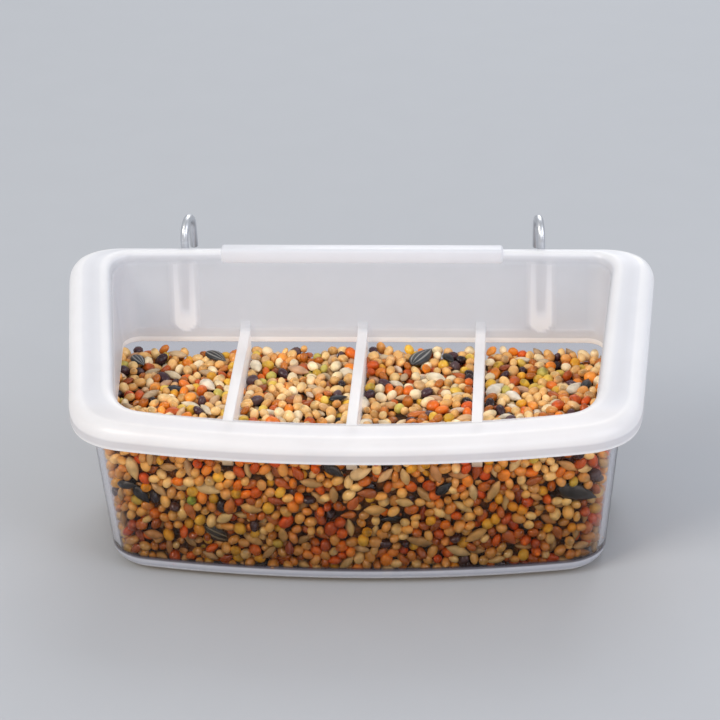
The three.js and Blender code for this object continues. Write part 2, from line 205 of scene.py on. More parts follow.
def set_inputs(piece: Piece, tree: GeometryTree, values: dict) -> None:
    """Adds a node tree to a piece and sets its named inputs.

    Args:
        piece: the object.
        tree: the geometry node tree.
        values: input name to value.
    """
    step = piece.modifiers.new(tree.name, "NODES")
    step.node_group = tree
    for item in tree.interface.items_tree:
        if item.in_out == "INPUT" and item.name in values:
            step[item.identifier] = values[item.name]


@dataclass(frozen=True)
class FrostedPolypropylene:
    """Injection-moulded natural polypropylene: milky, satin, and clearer where it is thin."""

    body: str = "#f1f2f6"
    thin: str = "#e3e4e8"  # where the moulding is thin
    edge: str = "#fdfdfe"  # along rounded edges: painted light, drawn whiter there
    pass_colour: str = "#fbfcfd"
    roughness: float = 0.27
    glow: float = 0.36  # share of the veil that lets light on through it
    haze: float = 0.3  # pale bloom where the surface turns away from the eye
    haze_spread: float = 0.45
    lamp_pass: str = "#c4c5c8"  # light that one surface lets on to what lies behind
    ior: float = 1.49
    skin_mm: float = 0.9  # size of the mould's fine spark texture, drawn coarser than real to show
    cloud_mm: float = 14.0  # size of the denser and clearer patches

    def material(self) -> Material:
        """Builds the material; the mesh's "milk" attribute says how dense it is at each place."""
        s = Shader("frosted_polypropylene")
        bump = s.bump(s.noise(self.skin_mm, 2.0), 0.12, 0.05)
        milk = s.add("Attribute", attribute_name="milk").outputs["Fac"]
        uneven = s.span(s.noise(self.cloud_mm, 3.0), to=(0.9, 1.1))
        dense = s.calc("MULTIPLY", milk, uneven, use_clamp=True)
        # the densest places, along edges and shoulders, take the whitest colour: partly the plastic's denser
        # look there, partly painted light
        white = s.ramp(milk, (0.0, self.thin), (0.8, self.thin), (0.86, self.body), (0.94, self.edge))
        solid = s.solid(white, {
            "Roughness": self.roughness, "IOR": self.ior, "Sheen Weight": self.haze,
            "Sheen Roughness": self.haze_spread, "Normal": bump,
        })
        veil = s.mix(self.glow, solid, s.add("BsdfTranslucent", {"Color": white}).outputs[0])
        shine = s.add("BsdfGlossy", {"Roughness": self.roughness, "Normal": bump}).outputs[0]
        fresnel = s.add("Fresnel", {"IOR": self.ior}).outputs[0]
        window = s.mix(fresnel, s.clear(linear(self.pass_colour)), shine)
        shadow = s.add("LightPath").outputs["Is Shadow Ray"]
        return s.done(s.mix(shadow, s.mix(dense, window, veil), s.clear(linear(self.lamp_pass))))


@dataclass(frozen=True)
class ClearPolystyrene:
    """Injection-moulded crystal polystyrene: glassy, with faint flow ripples and fine handling marks."""

    tint: str = "#f6f5f9"
    painted_edge_darkening: tuple[str, str] = ("#dedbe8", "#a39db6")  # painted darkening where the wall is seen edge-on
    shade: tuple[str, str, str] = ("#bfb198", "#dccdac", "#ffeed2")  # painted shade: light let on to the seed, darker lower down, upwards
    foot: tuple[str, str, str] = ("#f4f4fa", "#ccced9", "#4a4656")  # painted highlight, grey band and dark line on the thick foot, from below upwards
    # how much the painted foot band covers the glass
    painted_foot_share: float = 0.72
    painted_lip_light: float = 0.5  # painted light along the lip's edge
    gloss: str = "#484848"
    ior: float = 1.59
    roughness: float = 0.02
    worn: float = 0.07  # roughness where it has been handled
    ripple_mm: float = 22.0
    marks_mm: float = 5.0

    def material(self) -> Material:
        """Builds the material; light reaches the seed behind it, darker lower down as painted shade, and the
        foot shows as a pale band of painted highlight and shade.
        """
        s = Shader("clear_polystyrene")
        # painted darkening of the glass where the wall is seen edge-on
        facing = s.add("LayerWeight", {"Blend": 0.5}).outputs["Facing"]
        tints = zip((0.0, 0.72, 0.9, 1.0), (self.tint, self.tint, *self.painted_edge_darkening))
        glass = s.solid(s.ramp(facing, *tints), {
            "Roughness": s.span(s.noise(self.marks_mm, 4.0), 0.45, 0.8, (self.roughness, self.worn)),
            "IOR": self.ior, "Transmission Weight": 1.0, "Specular Tint": linear(self.gloss),
            "Normal": s.bump(s.noise(self.ripple_mm, 1.0), 0.25, 0.25),
        })
        up = s.add("SeparateXYZ", {"Vector": s.place}).outputs["Z"]
        # painted highlight, grey band and dark line round the foot, laid over the glass
        white, grey, dark = self.foot
        painted_foot_tones = zip((0.34, 0.46, 0.68, 0.75, 0.84, 1.0), (white, grey, grey, dark, dark, white))
        band = s.ramp(s.span(up, 0.0, 6 * MM), *painted_foot_tones)
        low = s.span(up, 5.2 * MM, 4.7 * MM, (0.0, self.painted_foot_share))
        # painted light: a pale diffuse surface along the lip's edge
        high = s.span(up, 41.0 * MM, 41.6 * MM, (0.0, self.painted_lip_light))
        level = s.calc("ABSOLUTE", s.add("SeparateXYZ", {"Vector": s.coordinates["Normal"]}).outputs["Z"])
        veil = s.calc("MULTIPLY", s.calc("MAXIMUM", low, high), s.span(level, 0.97, 0.85))
        seen = s.mix(veil, glass, s.solid(band, {"Roughness": 0.12, "IOR": self.ior}))
        path = s.add("LightPath").outputs
        light = s.calc("MAXIMUM", path["Is Shadow Ray"], path["Is Diffuse Ray"])
        # painted shade: less light is let on to the seed lower down
        shade = s.ramp(s.span(up, 4 * MM, 36 * MM), *zip((0.0, 0.6, 1.0), self.shade))
        return s.done(s.mix(light, seen, s.clear(shade)))


@dataclass(frozen=True)
class DrawnSteelWire:
    """Bright zinc-plated wire: metallic, with fine marks across it."""

    colour: str = "#d8dade"
    roughness: float = 0.33
    wide_mm: float = 2.4  # how far one mark goes round the wire
    marks_per_m: float = 3000.0

    def material(self) -> Material:
        """Builds the material; its shine breaks up along the wire."""
        s = Shader("zinc_plated_wire")
        scale = (1 / (self.wide_mm * MM),) * 2 + (self.marks_per_m,)
        stretch = s.add("Mapping", {"Vector": s.place, "Scale": scale}).outputs["Vector"]
        marks = s.add("TexNoise", {"Vector": stretch, "Scale": 1.0, "Detail": 3.0}).outputs["Fac"]
        return s.done(s.solid(linear(self.colour), {
            "Metallic": 1.0, "Roughness": s.span(marks, to=(self.roughness - 0.06, self.roughness + 0.12)),
            "Normal": s.bump(marks, 0.15, 0.02),
        }))


@dataclass(frozen=True)
class SeedHusk:
    """Dry husk of one kind of seed: each grain has its own colour from the kind's range."""

    name: str
    colours: tuple[str, ...]
    roughness: float = 0.38
    stripe: str = ""
    stripes: int = 0
    grain_mm: float = 0.35  # the husk's fine relief
    patch_mm: float = 2.2  # its lighter and darker patches

    def material(self) -> Material:
        """Builds the material; "tint" picks a grain's colour and the UV map has its tip and stripes."""
        s = Shader(self.name)
        tint = s.add("Attribute", attribute_name="tint").outputs["Fac"]
        stops = [(i / len(self.colours), colour) for i, colour in enumerate(self.colours)]
        tone = s.span(s.noise(self.patch_mm, 1.0), 0.3, 0.7, (0.78, 1.2))
        shown = s.toned(s.ramp(tint, *stops, interpolation="CONSTANT"), tone)
        part = s.add("SeparateXYZ", {"Vector": s.add("UVMap", uv_map="grain").outputs["UV"]}).outputs
        if self.stripes:
            wave = s.calc("SINE", s.calc("MULTIPLY", part["X"], 2 * math.pi * self.stripes))
            inputs = {0: s.span(wave, 0.35, 0.8), 6: shown, 7: linear(self.stripe)}
            shown = s.add("Mix", inputs, data_type="RGBA").outputs[2]
        shown = s.toned(shown, s.span(part["Y"], 0.02, 0.16, (0.55, 1.0)))
        bump = s.bump(s.noise(self.grain_mm, 2.0), 0.2, 0.06)
        return s.done(s.solid(shown, {"Roughness": self.roughness, "IOR": 1.45, "Normal": bump}))


@dataclass(frozen=True)
class DeepSeed:
    """The dark between grains that lie deeper than light reaches."""

    dark: str = "#2c1a0c"
    lighter: str = "#80522a"
    mottle_mm: float = 2.4

    def material(self) -> Material:
        """Builds the material as mottled shadow with the seed's own colour."""
        s = Shader("seed_in_shadow")
        inputs = {"Vector": s.place, "Scale": 1 / (self.mottle_mm * MM)}
        mottle = s.add("TexVoronoi", inputs).outputs["Distance"]
        colour = s.ramp(mottle, (0.1, self.lighter), (0.7, self.dark))
        return s.done(s.solid(colour, {"Roughness": 0.8, "Normal": s.bump(mottle, 1.0, 0.8, invert=True)}))


@contextmanager
def editing(mesh: Mesh) -> Iterator[bmesh.types.BMesh]:
    """Opens a mesh for changes and writes them back."""
    work = bmesh.new()
    work.from_mesh(mesh)
    yield work
    work.to_mesh(mesh)
    work.free()


def outward(mesh: Mesh) -> None:
    """Turns a closed mesh's faces outwards."""
    with editing(mesh) as work:
        bmesh.ops.recalc_face_normals(work, faces=work.faces)


def smooth(piece: Piece, crease: float) -> None:
    """Shades a piece smooth but for edges over `crease` degrees."""
    piece.data.shade_smooth()
    if crease < 180:
        piece.data.set_sharp_from_angle(angle=math.radians(crease))


def add_object(name: str, data: bpy.types.ID) -> Piece:
    """Puts a new object into the scene."""
    thing = bpy.data.objects.new(name, data)
    bpy.context.scene.collection.objects.link(thing)
    return thing


def new_piece(name: str, points: Array, faces: Sequence[Sequence[int]], crease: float = 180.0) -> Piece:
    """Makes a mesh object from points in millimetres.

    Args:
        name: the piece's name.
        points: one row of x, y, z for each vertex.
        faces: vertex numbers of each face.
        crease: edges sharper than this many degrees stay sharp.

    Returns:
        The object, at the origin and in the scene, shaded smooth.
    """
    mesh = bpy.data.meshes.new(name)
    mesh.from_pydata((np.asarray(points, float) * MM).tolist(), [], [list(map(int, f)) for f in faces])
    outward(mesh)
    piece = add_object(name, mesh)
    smooth(piece, crease)
    return piece


def baked(piece: Piece) -> Piece:
    """Replaces a piece's mesh by what its modifiers make of it, and removes them.

    Args:
        piece: the object with live modifiers.

    Returns:
        The same object.
    """
    evaluated = piece.evaluated_get(bpy.context.evaluated_depsgraph_get())
    mesh = bpy.data.meshes.new_from_object(evaluated)
    piece.modifiers.clear()
    piece.data = mesh
    mesh.name = piece.name
    return piece


def combine(piece: Piece, other: Piece, operation: str) -> Piece:
    """Joins another closed body to a piece, or cuts it away, and removes the other.

    Args:
        piece: the body that stays.
        other: the body that goes.
        operation: "UNION" or "DIFFERENCE".

    Returns:
        The changed piece.
    """
    step = piece.modifiers.new("combine", "BOOLEAN")
    step.operation, step.object, step.solver = operation, other, "MANIFOLD"
    baked(piece)
    bpy.data.objects.remove(other)
    return piece


def dress(piece: Piece, material: Material, body: str) -> Piece:
    """Gives a piece its material and its body.

    Args:
        piece: the finished piece.
        material: its material.
        body: the CAD body that it moves with.

    Returns:
        The same piece.
    """
    piece.data.materials.clear()
    piece.data.materials.append(material)
    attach(piece, body)
    return piece


@dataclass(frozen=True)
class Division:
    """How finely each stretch of a plan outline is divided."""

    bow: int = 96
    front_corner: int = 18
    side: int = 36
    back_corner: int = 16
    back: int = 140


@dataclass(frozen=True)
class PlanOutline:
    """A rounded plan outline with a bowed front, straight tapered sides and a straight back."""

    half: float
    taper: float
    back: float
    front: float
    bow: float
    back_radius: float
    front_radius: float

    def inset(self, distance: float) -> "PlanOutline":
        """Draws the outline in by a distance, with its corners kept round."""
        return replace(
            self, half=self.half - distance, back=self.back - distance, front=self.front + distance,
            bow=self.bow - distance, back_radius=max(2.0, self.back_radius - distance),
            front_radius=max(3.0, self.front_radius - distance),
        )

    def stations(self, steps: Division = Division()) -> Array:
        """Works out the outline anticlockwise.

        Args:
            steps: how finely each stretch is divided.

        Returns:
            Rows of x, y and the outward normal.
        """
        turn = math.radians(self.taper)
        normal = np.array([math.cos(turn), -math.sin(turn)])
        reach = normal[0] * self.half + normal[1] * self.back
        rear_y = self.back - self.back_radius
        rear = np.array([(reach - self.back_radius - normal[1] * rear_y) / normal[0], rear_y])
        start = rear + normal * (self.back_radius - self.front_radius)
        bow_y = self.front + self.bow
        along = normal[1] * start[0] - normal[0] * (start[1] - bow_y)
        gap = start[0] ** 2 + (start[1] - bow_y) ** 2 - (self.bow - self.front_radius) ** 2
        run = -along + math.sqrt(along ** 2 - gap)
        fore = start + run * np.array([normal[1], -normal[0]])
        edge = math.atan2(fore[1] - bow_y, fore[0])

        def arc(cx: float, cy: float, radius: float, first: float, last: float, count: int) -> Array:
            """Rows along a round stretch."""
            a = np.linspace(first, last, count + 1)
            return np.stack([cx + radius * np.cos(a), cy + radius * np.sin(a), np.cos(a), np.sin(a)], 1)

        def straight(a: Array, b: Array, count: int) -> Array:
            """Rows between two others."""
            t = np.linspace(0, 1, count + 1)[1:-1, None]
            return np.hstack([a[:2] * (1 - t) + b[:2] * t, np.repeat(a[None, 2:], len(t), 0)])

        pi = math.pi
        right = [
            arc(*fore, self.front_radius, edge, -turn, steps.front_corner),
            arc(*rear, self.back_radius, -turn, pi / 2, steps.back_corner),
        ]
        left = [
            arc(-rear[0], rear[1], self.back_radius, pi / 2, pi + turn, steps.back_corner),
            arc(-fore[0], fore[1], self.front_radius, pi + turn, pi - edge, steps.front_corner),
        ]
        rows = [
            arc(0, bow_y, self.bow, -pi - edge, edge, steps.bow)[1:-1],
            right[0], straight(right[0][-1], right[1][0], steps.side), right[1],
            straight(right[1][-1], left[0][0], steps.back), left[0],
            straight(left[0][-1], left[1][0], steps.side), left[1],
        ]
        return np.vstack(rows)


def ring_at(stations: Array, out: float, z: float) -> Array:
    """Points of an outline moved out by a distance, at a height."""
    return np.column_stack([stations[:, :2] + stations[:, 2:] * out, np.full(len(stations), z)])


def ring_faces(n: int, count: int, joined: bool = False) -> list[tuple[int, ...]]:
    """Faces between neighbouring rings of n points; the last ring can join the first."""
    return [
        (r * n + i, r * n + (i + 1) % n, (r + 1) % count * n + (i + 1) % n, (r + 1) % count * n + i)
        for r in range(count if joined else count - 1) for i in range(n)
    ]


def ring_body(name: str, rings: Sequence[Array], joined: bool = False, crease: float = 180.0) -> Piece:
    """Makes a closed body from equal rings of points.

    Args:
        name: the piece's name.
        rings: the rings in order, in the CAD model's lines.
        joined: True if the last ring joins the first, False if both ends are closed.
        crease: edges sharper than this many degrees stay sharp.

    Returns:
        The object, in the frame.
    """
    n, count = len(rings[0]), len(rings)
    faces = ring_faces(n, count, joined)
    if not joined:
        faces += [tuple(range(n)), tuple(range((count - 1) * n, count * n))]
    return new_piece(name, placed(np.vstack(rings)), faces, crease)


@dataclass(frozen=True)
class Sizes:
    """Driving sizes of the part, the same as in the CAD model."""

    width: float = 152.4
    depth: float = 66.5
    cup_height: float = 43.1
    rise: float = 23.0
    seat_gap: float = 0.3
    back_line: float = 5.2

    @property
    def shift(self) -> float:
        """How far the CAD model's lines lie behind the frame's origin."""
        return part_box("guard")[0].y / MM - (self.back_line - self.depth)

    @property
    def band(self) -> PlanOutline:
        """Outline of the guard's band, in the CAD model's own lines."""
        return PlanOutline(self.width / 2, 5.8, self.back_line, self.back_line - self.depth, 262, 10.5, 18)

    def within(self, side: float, back: float, front: float, **shape: float) -> PlanOutline:
        """An outline that lies within the band's by the given distances."""
        band = self.band
        return PlanOutline(half=band.half - side, back=band.back - back, front=band.front + front, **shape)

    @property
    def lip(self) -> PlanOutline:
        """Outline of the cup's lip."""
        return self.within(4.6, 0.7, 2.0, taper=4.4, bow=260, back_radius=10, front_radius=16)

    @property
    def rim(self) -> PlanOutline:
        """Outline of the cup's wall at its rim."""
        return self.within(6.9, 1.9, 3.7, taper=3.4, bow=262, back_radius=9, front_radius=14)

    @property
    def base(self) -> PlanOutline:
        """Outline of the cup's wall at its base."""
        return self.within(11.6, 6.6, 7.1, taper=3.0, bow=285, back_radius=6, front_radius=12)

    @property
    def plug(self) -> PlanOutline:
        """Inner outline of the guard's wall at its lower edge."""
        return self.within(13.3, self.back_line, 11.3, taper=4.6, bow=245, back_radius=4.5, front_radius=9)


SIZES = Sizes()


def placed(points: Array) -> Array:
    """Moves points from the CAD model's lines to the frame."""
    return np.asarray(points, float) + (0, SIZES.shift, 0)


@dataclass
class ClearCup:
    """The clear cup: tapered, bow-fronted, with a lip and a foot ring."""

    wall: float = 1.6
    lip_thick: float = 1.4
    floor: float = 2.4
    base_round: float = 3.6
    foot_in: float = 1.0
    foot_wide: float = 3.4
    foot_high: float = 0.6
    lip_round: float = 0.4
    under_in: float = 12.0  # the rest of the underside and of the floor is closed flat, this far in
    floor_in: float = 14.0

    def __post_init__(self) -> None:
        self.low, self.high = SIZES.base.stations(), SIZES.rim.stations()

    def outline(self, z: float) -> Array:
        """The outer wall's stations at a height."""
        t = z / SIZES.cup_height
        return self.low * (1 - t) + self.high * t

    def corner(self, out: float, low: float, radius: float, steps: int = 8) -> list[Array]:
        """Rings that round a corner between a level face and the wall, upwards."""
        rings = []
        for a in np.linspace(0, math.pi / 2, steps + 1):
            z = low + radius * (1 - math.cos(a))
            rings.append(ring_at(self.outline(z), out - radius * (1 - math.sin(a)), z))
        return rings

    def foot(self, distance: float, z: float) -> Array:
        """A ring of the foot, drawn in from the base."""
        return ring_at(SIZES.base.inset(distance).stations(), 0, z)

    def build(self) -> Piece:
        """Makes the cup as one closed body."""
        top, out_to = SIZES.cup_height, self.base_round + self.foot_in
        in_to, lip, r = out_to + self.foot_wide, SIZES.lip.stations(), self.lip_round
        outer_low, outer_high = self.foot_high + self.base_round, top - self.lip_thick
        inner_low = self.floor + self.base_round - self.wall
        between = np.linspace(0, 1, 12)[1:-1]
        lip_rings = [
            ring_at(lip, -r * (1 - math.sin(a)), z + side * r * math.cos(a))
            for z, side, turn in ((outer_high + r, -1, 1), (top - r, 1, -1))
            for a in np.linspace(0, math.pi / 2, 5)[::turn]
        ]
        rings = [
            self.foot(in_to + self.under_in, self.foot_high),
            self.foot(in_to + self.foot_high, self.foot_high),
            self.foot(in_to, 0), self.foot(out_to, 0), self.foot(out_to - self.foot_high, self.foot_high),
            *self.corner(0, self.foot_high, self.base_round),
            *[ring_at(self.outline(z), 0, z) for z in outer_low + (outer_high - outer_low) * between],
            ring_at(self.outline(outer_high), 0, outer_high), *lip_rings,
            ring_at(self.high, -self.wall + r, top), ring_at(self.high, -self.wall, top - r),
            *[ring_at(self.outline(z), -self.wall, z)
              for z in (inner_low + (top - r - inner_low) * between)[::-1]],
            *self.corner(-self.wall, self.floor, self.base_round - self.wall)[::-1],
            ring_at(self.outline(self.floor), -self.wall - self.floor_in, self.floor),
        ]
        piece = ring_body("cup_moulding", rings, crease=50)
        dress(piece, ClearPolystyrene().material(), "cup")
        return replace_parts(piece, "clear_cup")


@dataclass(frozen=True)
class Milkiness:
    """How milky the guard is at each place, from 0 for clear to 1 for white."""

    # rounded edges are drawn densest, so whitest: painted light
    edge: float = 0.95
    wall: float = 0.55
    side_wall_painted_light: float = 0.27  # how much more the side walls have: painted light, drawn whiter as if lit
    foot: float = 0.77  # where the wall stands before the cup's lip
    fillet: tuple[float, float] = (0.52, 0.44)
    front: float = 0.93  # the fillet along the front
    band: float = 0.9
    shoulder: float = 0.94
    skirt: float = 0.82
    under: tuple[float, ...] = (0.7, 0.6, 0.6, 0.5, 0.3)  # inside the channel, from the skirt inwards
    seat: float = 0.6
    blade: float = 0.93
    blade_fade: float = 0.42  # how much of it goes where the blade climbs the wall
    pocket: float = 0.92
    pocket_seen: float = 0.96  # on the wall in front of a pocket
    bore: float = 0.85
    land: float = 0.86


MILK = Milkiness()


@dataclass
class FrostedGuard:
    """The frosted guard: wall, swept band, seat, dividers, hook sockets and the raised land."""

    wall: float = 1.3
    plug_deep: float = 2.2
    draft: float = 0.07
    rise_from: float = 11.3  # behind the band's front
    rise_to: float = 0.5
    end_slope: float = 0.12
    inner_round: float = 2.6
    outer_round: float = 3.2
    cove: float = 0.9
    skirt: float = 6.3
    back_skirt: float = 3.0
    edge: float = 0.45
    front_run: float = 24.0  # the front stretch shows whiter, up to here behind the band's front
    land_half: float = 36.5
    land_high: float = 0.9
    land_front: float = 0.5
    land_deep: float = 2.8
    land_round: float = 0.8
    land_edge: float = 1.1
    seat_reach: float = 0.7  # how far the seat goes into the wall
    seat_down: float = 0.35
    seat_round: float = 0.3
    pitch: float = 30.7
    blade_over: float = 1.4  # the blades' top over the cup's rim
    blade_thick: float = 2.6
    blade_high: float = 12.0
    blade_climb: float = 3.6
    blade_nose: float = 4.5
    blade_edge: float = 0.6
    socket_over: float = 0.8
    socket_edge: float = 0.7
    socket_x: float = 46.3
    socket_y: float = 6.6
    socket_half: float = 3.4
    socket_back: float = 9.9
    bore: float = 1.35
    bore_over: float = 4.8

    def __post_init__(self) -> None:
        self.top = SIZES.cup_height
        self.plug_z = self.top - self.plug_deep
        self.front_z = self.top + SIZES.seat_gap + self.wall
        self.back_z = self.top + SIZES.rise
        self.blade_top = self.top + self.blade_over
        self.socket_z = self.top + self.socket_over

    def band_height(self, y: Array) -> Array:
        """Height of the band over a line across the part: level in front, climbing to a level back."""
        first, last = SIZES.band.front + self.rise_from, self.rise_to
        t = np.clip((y - first) / (last - first), 0, 1)
        ease = (3 - 2 * t) * t * t
        lift = (t - 1) * t * t * (last - first) * self.end_slope
        return self.front_z + (self.back_z - self.front_z) * ease + lift

    def section(self) -> tuple[list[Array], list[Array]]:
        """Works out the swept channel.

        Returns:
            The rings round the part, one for each point of the section, and how milky each is.
        """
        plug, band = SIZES.plug.stations(), SIZES.band.stations()
        top = self.band_height(plug[:, 1])
        for _ in range(4):
            top = self.band_height(plug[:, 1] + plug[:, 3] * self.draft * (top - self.plug_z))
        out = self.draft * (top - self.plug_z)
        inner = np.column_stack([plug[:, :2] + plug[:, 2:] * out[:, None], top])
        outer = np.column_stack([band[:, :2], self.band_height(band[:, 1])])
        wide = np.linalg.norm((outer - inner)[:, :2], axis=1)
        to_back = 1 - np.clip((wide - 4) / 6, 0, 1)
        to_back = to_back * to_back * (3 - 2 * to_back)
        r_in = np.minimum(np.minimum(self.inner_round, 0.4 * wide), 0.8 * (top - self.plug_z))
        r_out = np.minimum(self.outer_round, 0.4 * wide)
        skirt = self.skirt + (self.back_skirt - self.skirt) * to_back
        cove, w, e = np.minimum(self.cove, 0.1 * wide), self.wall, self.edge

        def at(s: Array, drop: Array) -> Array:
            """Points across the section, `s` from the inside and `drop` below the band."""
            share = (s / wide)[:, None]
            return inner * (1 - share) + outer * share - np.column_stack([0 * s, 0 * s, drop + 0 * s])

        def on_wall(t: float, side: float, lift: float = 0.0) -> Array:
            """Points on the wall, `t` of the way up and `side` through its thickness."""
            z = (self.plug_z + lift) * (1 - t) + (top - r_in) * t
            d = side + self.draft * (z - self.plug_z)
            return np.column_stack([plug[:, :2] + plug[:, 2:] * d[:, None], z])

        def arc(steps: int) -> Array:
            """Angles of a quarter turn."""
            return np.linspace(0, math.pi / 2, steps + 1)

        rings: list[Array] = []
        milk: list[Array] = []
        front = np.clip((SIZES.band.front + self.front_run - band[:, 1]) / 12, 0, 1)
        # the side walls are drawn milkier: painted light
        wall_milk = MILK.wall + MILK.side_wall_painted_light * np.abs(plug[:, 2])
        climb = np.linspace(0, 1, 30)[1:-1]

        def add(ring: Array, dense: float | Array) -> None:
            """Adds a ring with its milkiness."""
            rings.append(ring)
            milk.append(dense + 0 * wide)

        for a in arc(4):
            add(on_wall(0, w / 2 - w / 2 * math.sin(a), e * (1 - math.cos(a))), MILK.edge)
        # a whiter strip along the wall's lower edge: painted light
        for t, dense in ((0.046, MILK.edge), (0.056, MILK.foot)):
            add(on_wall(t, 0, e), dense)
        for t in climb[1:]:
            add(on_wall(t, 0, e), wall_milk)
        for a in arc(8):
            dense = MILK.fillet[0] + MILK.fillet[1] * math.sin(a * 1.25)
            add(at(r_in * (1 - math.cos(a)), r_in * (1 - math.sin(a))), dense + (MILK.front - dense) * front)
        for t in np.linspace(0, 1, 8)[1:-1]:
            dip = (0.05 - 0.02 * front) * math.sin(math.pi * t)
            add(at(r_in + (wide - r_in - r_out) * t, 0 * wide), MILK.band - dip)
        for a in arc(8)[::-1]:
            add(at(wide - r_out * (1 - math.cos(a)), r_out * (1 - math.sin(a))), MILK.shoulder)
        for t in (0.25, 0.5, 0.75):
            add(at(wide, r_out + (skirt - e - r_out) * t), MILK.skirt)
        for a in arc(4)[::-1]:
            add(at(wide - w / 2 + w / 2 * math.sin(a), skirt - e + e * math.cos(a)), MILK.edge)
        under = (
            (wide - w, skirt - e), (wide - w, w + cove), (wide - w - cove, w), (w + cove, w),
            (w + 0 * wide, w + cove),
        )
        for (s, drop), dense in zip(under, MILK.under):
            add(at(s, drop), dense)
        for t in climb[::-1]:
            add(on_wall(t, w, e), wall_milk)
        for a in arc(4)[::-1][:-1]:
            add(on_wall(0, w / 2 + w / 2 * math.sin(a), e * (1 - math.cos(a))), MILK.edge)
        return rings, milk

    def milky(self, piece: Piece, milk: float | Sequence[float]) -> Piece:
        """Writes how milky a body is, one value or one for each vertex, on its face corners."""
        values = np.broadcast_to(milk, len(piece.data.vertices))
        corners = np.array([values[loop.vertex_index] for loop in piece.data.loops], np.float32)
        piece.data.attributes.new("milk", "FLOAT", "CORNER").data.foreach_set("value", corners)
        return piece

    def shell(self) -> Piece:
        """Makes the wall and the band as one swept body; the pockets show whiter through the wall."""
        rings, milk = self.section()
        piece = ring_body("guard_moulding", rings, joined=True)
        (x, y, z), values = np.vstack(rings).T, np.concatenate(milk)
        across, down = np.abs(x) - self.socket_x, np.minimum(z - self.socket_z - self.socket_half, 0)
        from_edge = self.socket_half - np.hypot(across, down)
        rise = np.clip((z - self.top) / SIZES.rise, 0, 1)
        # the wire shows a little darker through its pocket, but for the pocket's low end
        wire = np.clip(1.7 - np.abs(across), 0, 1) * np.clip(8 * rise - 1.6, 0, 1)
        on_back = (np.abs(values - MILK.wall) < 0.02) & (y > -1)
        veil = np.clip(from_edge / 1.1 + 0.5, 0, 1) * on_back
        values = values + (MILK.pocket_seen - 0.14 * rise - 0.12 * wire - values) * veil
        low = np.clip((self.front_z + 1.6 - z) / 1.6, 0, 1)
        return self.milky(piece, np.maximum(values, MILK.foot * low))

    def seat(self) -> Piece:
        """Makes the flat seat that rests on the cup's lip."""
        plug, lip = SIZES.plug.stations(), SIZES.lip.stations()
        low, high, r = self.top + SIZES.seat_gap, self.front_z - self.seat_down, self.seat_round
        rings = [
            ring_at(plug, self.seat_reach, low), ring_at(lip, -r, low), ring_at(lip, 0, low + r),
            ring_at(lip, 0, high - r), ring_at(lip, -r, high), ring_at(plug, self.seat_reach, high),
        ]
        return self.milky(ring_body("seat", rings, joined=True), MILK.seat)

    def extrude(
        self, name: str, shape: Array, ends: tuple[float, float], axis: int, bevel: float,
        milk: Callable[[Array], Array] | float,
    ) -> Piece:
        """Extrudes a flat closed shape and rounds the edges of its ends.

        Args:
            name: the body's name.
            shape: the shape's points in the two other axes, in order.
            ends: where it starts and ends along the axis.
            axis: 0 to extrude along x, 1 along y.
            bevel: radius of the rounded edges.
            milk: how milky the body is, or a function of heights that says so.

        Returns:
            The body.
        """
        piece = ring_body(name, [np.insert(shape, axis, end, 1) for end in ends])
        with editing(piece.data) as work:
            edges = [e for e in work.edges if abs(e.verts[0].co[axis] - e.verts[1].co[axis]) < 1e-7]
            bmesh.ops.bevel(work, geom=edges, offset=bevel * MM, segments=3, profile=0.5, affect="EDGES",
                            clamp_overlap=True)
        heights = np.array([v.co.z for v in piece.data.vertices]) / MM
        return self.milky(piece, milk(heights) if callable(milk) else milk)

    def divider(self, x: float) -> Piece:
        """Makes a blade between two bays, with a fillet up the back wall and a rounded lower front."""
        top, foot, cup = self.blade_top, self.blade_top - self.blade_high, ClearCup()

        def front(z: float) -> float:
            """The cup's front wall, seen from inside."""
            t = z / self.top
            bow = SIZES.base.bow * (1 - t) + SIZES.rim.bow * t - cup.wall
            line = SIZES.base.front * (1 - t) + SIZES.rim.front * t + cup.wall
            return line + bow - math.sqrt(bow ** 2 - x ** 2) + SIZES.seat_gap

        low, high = front(foot), front(self.front_z - self.wall)
        t = np.linspace(0, 1, 9)[:, None]
        climb, half = self.blade_climb, self.blade_thick / 2

        def curve(a: tuple, b: tuple, c: tuple) -> Array:
            """A bend from a to c that leans to b."""
            return (1 - t) ** 2 * np.array(a) + 2 * t * (1 - t) * np.array(b) + t ** 2 * np.array(c)

        def milk(z: Array) -> Array:
            """Fades the blade where it climbs the wall."""
            return MILK.blade - MILK.blade_fade * np.clip((z - top) / (climb - 0.6), 0, 1)

        shape = np.vstack([
            curve((1.0, top + climb), (-0.4, top + 0.3), (-0.7 * climb, top)),
            [(high + self.blade_nose, top), (high, self.front_z - 0.6 * self.wall)],
            curve((low, foot + 3.4), (low + 0.5, foot + 0.2), (low + 4.5, foot)),
            [(0.4, foot + 1.6), (0.4, self.plug_z + 0.2)],
        ])
        return self.extrude("divider", shape, (x - half, x + half), 0, self.blade_edge, milk)

    def socket(self, x: float) -> Piece:
        """Makes a round-bottomed pocket on the back wall."""
        r, high = self.socket_half, self.back_z - self.land_deep
        a = np.linspace(math.pi, 2 * math.pi, 17)
        foot = np.column_stack([x + r * np.cos(a), self.socket_z + r + r * np.sin(a)])
        shape = np.vstack([foot, [(x + r, high), (x - r, high)]])
        ends = (0.2, self.socket_back)
        body = self.extrude("socket", shape, ends, 1, self.socket_edge, MILK.pocket)
        plug = SIZES.plug.stations()
        inside = ring_body("inside", [
            ring_at(plug, self.draft * (z - self.plug_z) + self.wall / 2, z)
            for z in (self.plug_z - self.wall, self.back_z + self.wall)
        ])
        return combine(body, inside, "DIFFERENCE")

